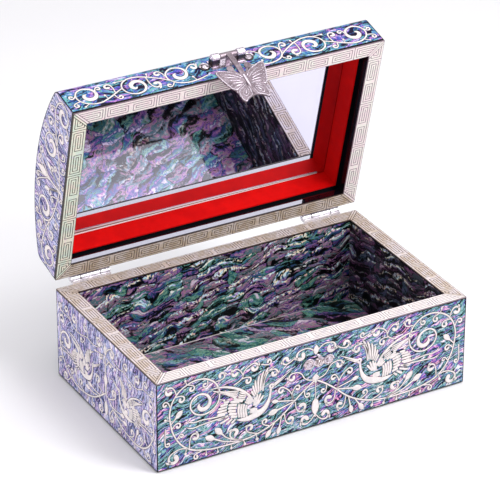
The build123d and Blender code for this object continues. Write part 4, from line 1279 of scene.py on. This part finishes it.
def butterfly_work():
    """Chased lines of the butterfly, one half, below the bend of the hasp."""
    half = Drawing()
    half.line(
        [
            (1.4, -8), (4.2, -4.7), (9.3, -2), (14.8, -1.1), (14.2, -5.6), (12.5, -10.4), (9.6, -15.4),
            (6, -14.2), (2, -12.4),
        ],
        [CHASED_LINE] * 9,
    )
    half.feather((2.2, -8.8), (11.6, -3.6), 0.4, 0.06)
    half.feather((4.6, -8.2), (12.4, -5.9), 0.34, 0.05)
    half.feather((3.4, -10.2), (11.2, -8.4), 0.36, 0.04)
    half.feather((2.6, -11.4), (9.6, -11), 0.34, 0.02)
    half.feather((3.6, -12.6), (8.4, -13.2), 0.3, 0.02)
    inner = ((13.2, -3), (12.9, -4.9), (12.3, -7.1), (11.5, -9.5), (10.4, -11.9), (9.1, -14))
    half.dots(inner, 0.4, [0.12, 0.42, 0.12])
    half.line(
        [
            (1.4, -13.2), (4.8, -15), (8, -17.2), (8.5, -20.8), (7.4, -24.4), (5, -22.6), (2.2, -21.3),
            (1.2, -18), (1.3, -14.2),
        ],
        [CHASED_LINE] * 9,
    )
    eye = [(2.4, -15.6), (4.8, -16.8), (6.4, -18.8), (5.9, -21), (4, -20.2), (2.7, -18.2), (2.4, -15.8)]
    half.line(eye, [0.28] * 7)
    half.feather((3.5, -17), (5, -19.6), 0.6)
    edge = ((14.9, -3.4), (14, -7.6), (12.6, -11.2), (10.9, -14.2), (9.4, -17.4), (9, -20.4), (7.9, -23.8))
    half.dots(edge, 0.5, [0.16, 0.52, 0.16])
    return half.mirrored()


# A ring winds this many turns in so many steps to this radius, and narrows from its outer end
RING_TURNS = 1.3
RING_STEPS = 13
RING_EYE = 0.9
RING_LINE = 0.58
RING_TAPER = 0.14
RING_PROUD = 0.55
# Side and outer radius of each ring
LATCH_RINGS = ((-1, 3.1), (1, 3.1))
CATCH_RINGS = ((-1, 4.1), (1, 3.4))


def ring(drawing, middle, height, sign, outer):
    """Add a flat ring round an eyelet's nail that winds inwards."""
    knots, widths = [], []
    for k in range(RING_STEPS + 1):
        part = k / RING_STEPS
        angle = sign * 2 * pi * RING_TURNS * part + (0 if sign > 0 else pi)
        radius = outer - (outer - RING_EYE) * part ** 0.9
        knots.append((middle + radius * cos(angle), height + radius * sin(angle)))
        widths.append(RING_LINE - RING_TAPER * part)
    drawing.line(knots, widths)


spine, latch_scrolls, catch_scrolls = Drawing(), Drawing(), Drawing()
spine.upright(0, [-5.6, -6.6, -8.4, -12.6, -16.6, -20.6], [0.2, 0.85, 1.05, 0.95, 0.6, 0.15])
for sign, outer in LATCH_RINGS:
    ring(latch_scrolls, LATCH_X + sign * LATCH_EYELET_X, LATCH_Z, sign, outer)
for sign, outer in CATCH_RINGS:
    ring(catch_scrolls, LATCH_X + sign * CATCH_EYELET_X, CATCH_Z, sign, outer)
catch_bud = [(-1.6, 5.6), (0.0, 4.0), (1.0, 2.6), (3.4, 1.6)]
catch_scrolls.line([(LATCH_X + x, CATCH_Z + y) for x, y in catch_bud], [0.4, 1.2, 1.0, 0.4])

wing, latch_panel, catch_panel = Panel(HASP_FACE), Panel(LID_FACE["front"]), Panel(BASE_FACE["front"])
# Name, drawing, panel, metal and body, how far it stands out and from what level, how flat and how smooth
raised_work = (
    ("butterfly_chasing", butterfly_work(), wing, lid_silver, "hasp", CHASED_PROUD, HASP_METAL, 1.0, 3),
    ("butterfly_body", spine, wing, lid_silver, "hasp", SPINE_PROUD, HASP_METAL, SPINE_RISE, 6),
    ("latch_scrolls", latch_scrolls, latch_panel, lid_silver, "lid", RING_PROUD, LATCH_METAL, 1.0, 3),
    ("catch_scrolls", catch_scrolls, catch_panel, base_silver, "base", RING_PROUD, CATCH_METAL, 1.0, 3),
)
for name, drawing, panel, silver, body, proud, level, rise, smooth in raised_work:
    inlay(name, drawing, panel, silver, body, proud, level, rise, smooth)


# Floor, light and camera

CAMERA_AZIMUTH = -29.677
CAMERA_ELEVATION = 28.428
CAMERA_ROLL = 0.2765
CAMERA_DISTANCE = 1.7311
CAMERA_TARGET = Vector((-0.00731, 0.0, 0.08665))
SENSOR = 36.0
LENS = 220.63
CLIP = (0.05, 50)
FLOOR_REACH = 4.0
# Light from all round, and between which heights of the sky it fades
HORIZON_LIGHT = 0.85
ZENITH_LIGHT = 0.03
FADE_FROM = 0.3
FADE_TO = 0.7
# Soft boxes: place, size and light given off per square metre and steradian
OVERHEAD_BOX = ((0.0, 0.0, 1.2), (1.49, 1.57), 2.2)
LEFT_BOX = ((-1.35, 0.3, 0.15), (1.0, 0.28), 8.0)
FRONT_BOX = ((0.67, -0.93, 1.06), (0.6, 1.5), 7.0)


def studio():
    """Pale floor, light from all round low down, and soft boxes overhead, front right and low at left."""
    shape = bmesh.new()
    bmesh.ops.create_grid(shape, x_segments=1, y_segments=1, size=FLOOR_REACH)
    floor = bpy.data.meshes.new("studio_floor")
    shape.to_mesh(floor)
    shape.free()
    floor.materials.append(
        speckled("floor paper", BASE_STAND, (120, 2, 0.5), ("#ecebee", "#e8e6ea"), (0.85, 0.05))
    )
    ground = placed("studio_floor", floor)

    world = bpy.data.worlds.new("studio")
    world.use_nodes = True
    nodes, links = world.node_tree.nodes, world.node_tree.links
    aim = nodes.new("ShaderNodeTexCoord")
    parts = nodes.new("ShaderNodeSeparateXYZ")
    fade = nodes.new("ShaderNodeMapRange")
    for place, value in enumerate((FADE_FROM, FADE_TO, HORIZON_LIGHT, ZENITH_LIGHT), 1):
        fade.inputs[place].default_value = value
    links.new(aim.outputs["Generated"], parts.inputs[0])
    links.new(parts.outputs["Z"], fade.inputs[0])
    links.new(fade.outputs[0], nodes["Background"].inputs["Strength"])
    nodes["Background"].inputs["Color"].default_value = (1.0, 1.0, 1.0, 1.0)
    bpy.context.scene.world = world

    boxes = {"overhead_box": OVERHEAD_BOX, "front_box": FRONT_BOX, "left_box": LEFT_BOX}
    for name, (place, size, strength) in boxes.items():
        lamp = bpy.data.lights.new(name, "AREA")
        lamp.shape = "RECTANGLE"
        lamp.size, lamp.size_y = size
        lamp.energy = strength * pi * size[0] * size[1]
        holder = placed(name, lamp)
        holder.location = place
        holder.rotation_euler = (Vector(place) - CAMERA_TARGET).to_track_quat("Z", "Y").to_euler()
        holder.visible_camera = False
    bpy.context.scene.view_settings.view_transform = "Standard"


def camera():
    """Camera at the photograph's angle."""
    azimuth, elevation, roll = radians(CAMERA_AZIMUTH), radians(CAMERA_ELEVATION), radians(CAMERA_ROLL)
    back = Vector((sin(azimuth) * cos(elevation), -cos(azimuth) * cos(elevation), sin(elevation)))
    right = Vector((cos(azimuth), sin(azimuth), 0))
    up = back.cross(right)
    rolled_right = right * cos(roll) + up * sin(roll)
    rolled_up = up * cos(roll) - right * sin(roll)
    lens = bpy.data.cameras.new("camera")
    lens.sensor_width = SENSOR
    lens.lens = LENS
    lens.clip_start, lens.clip_end = CLIP
    eye = placed("camera", lens)
    eye.matrix_world = axes(rolled_right, rolled_up, back, CAMERA_TARGET + back * CAMERA_DISTANCE)
    bpy.context.scene.camera = eye


studio()
camera()
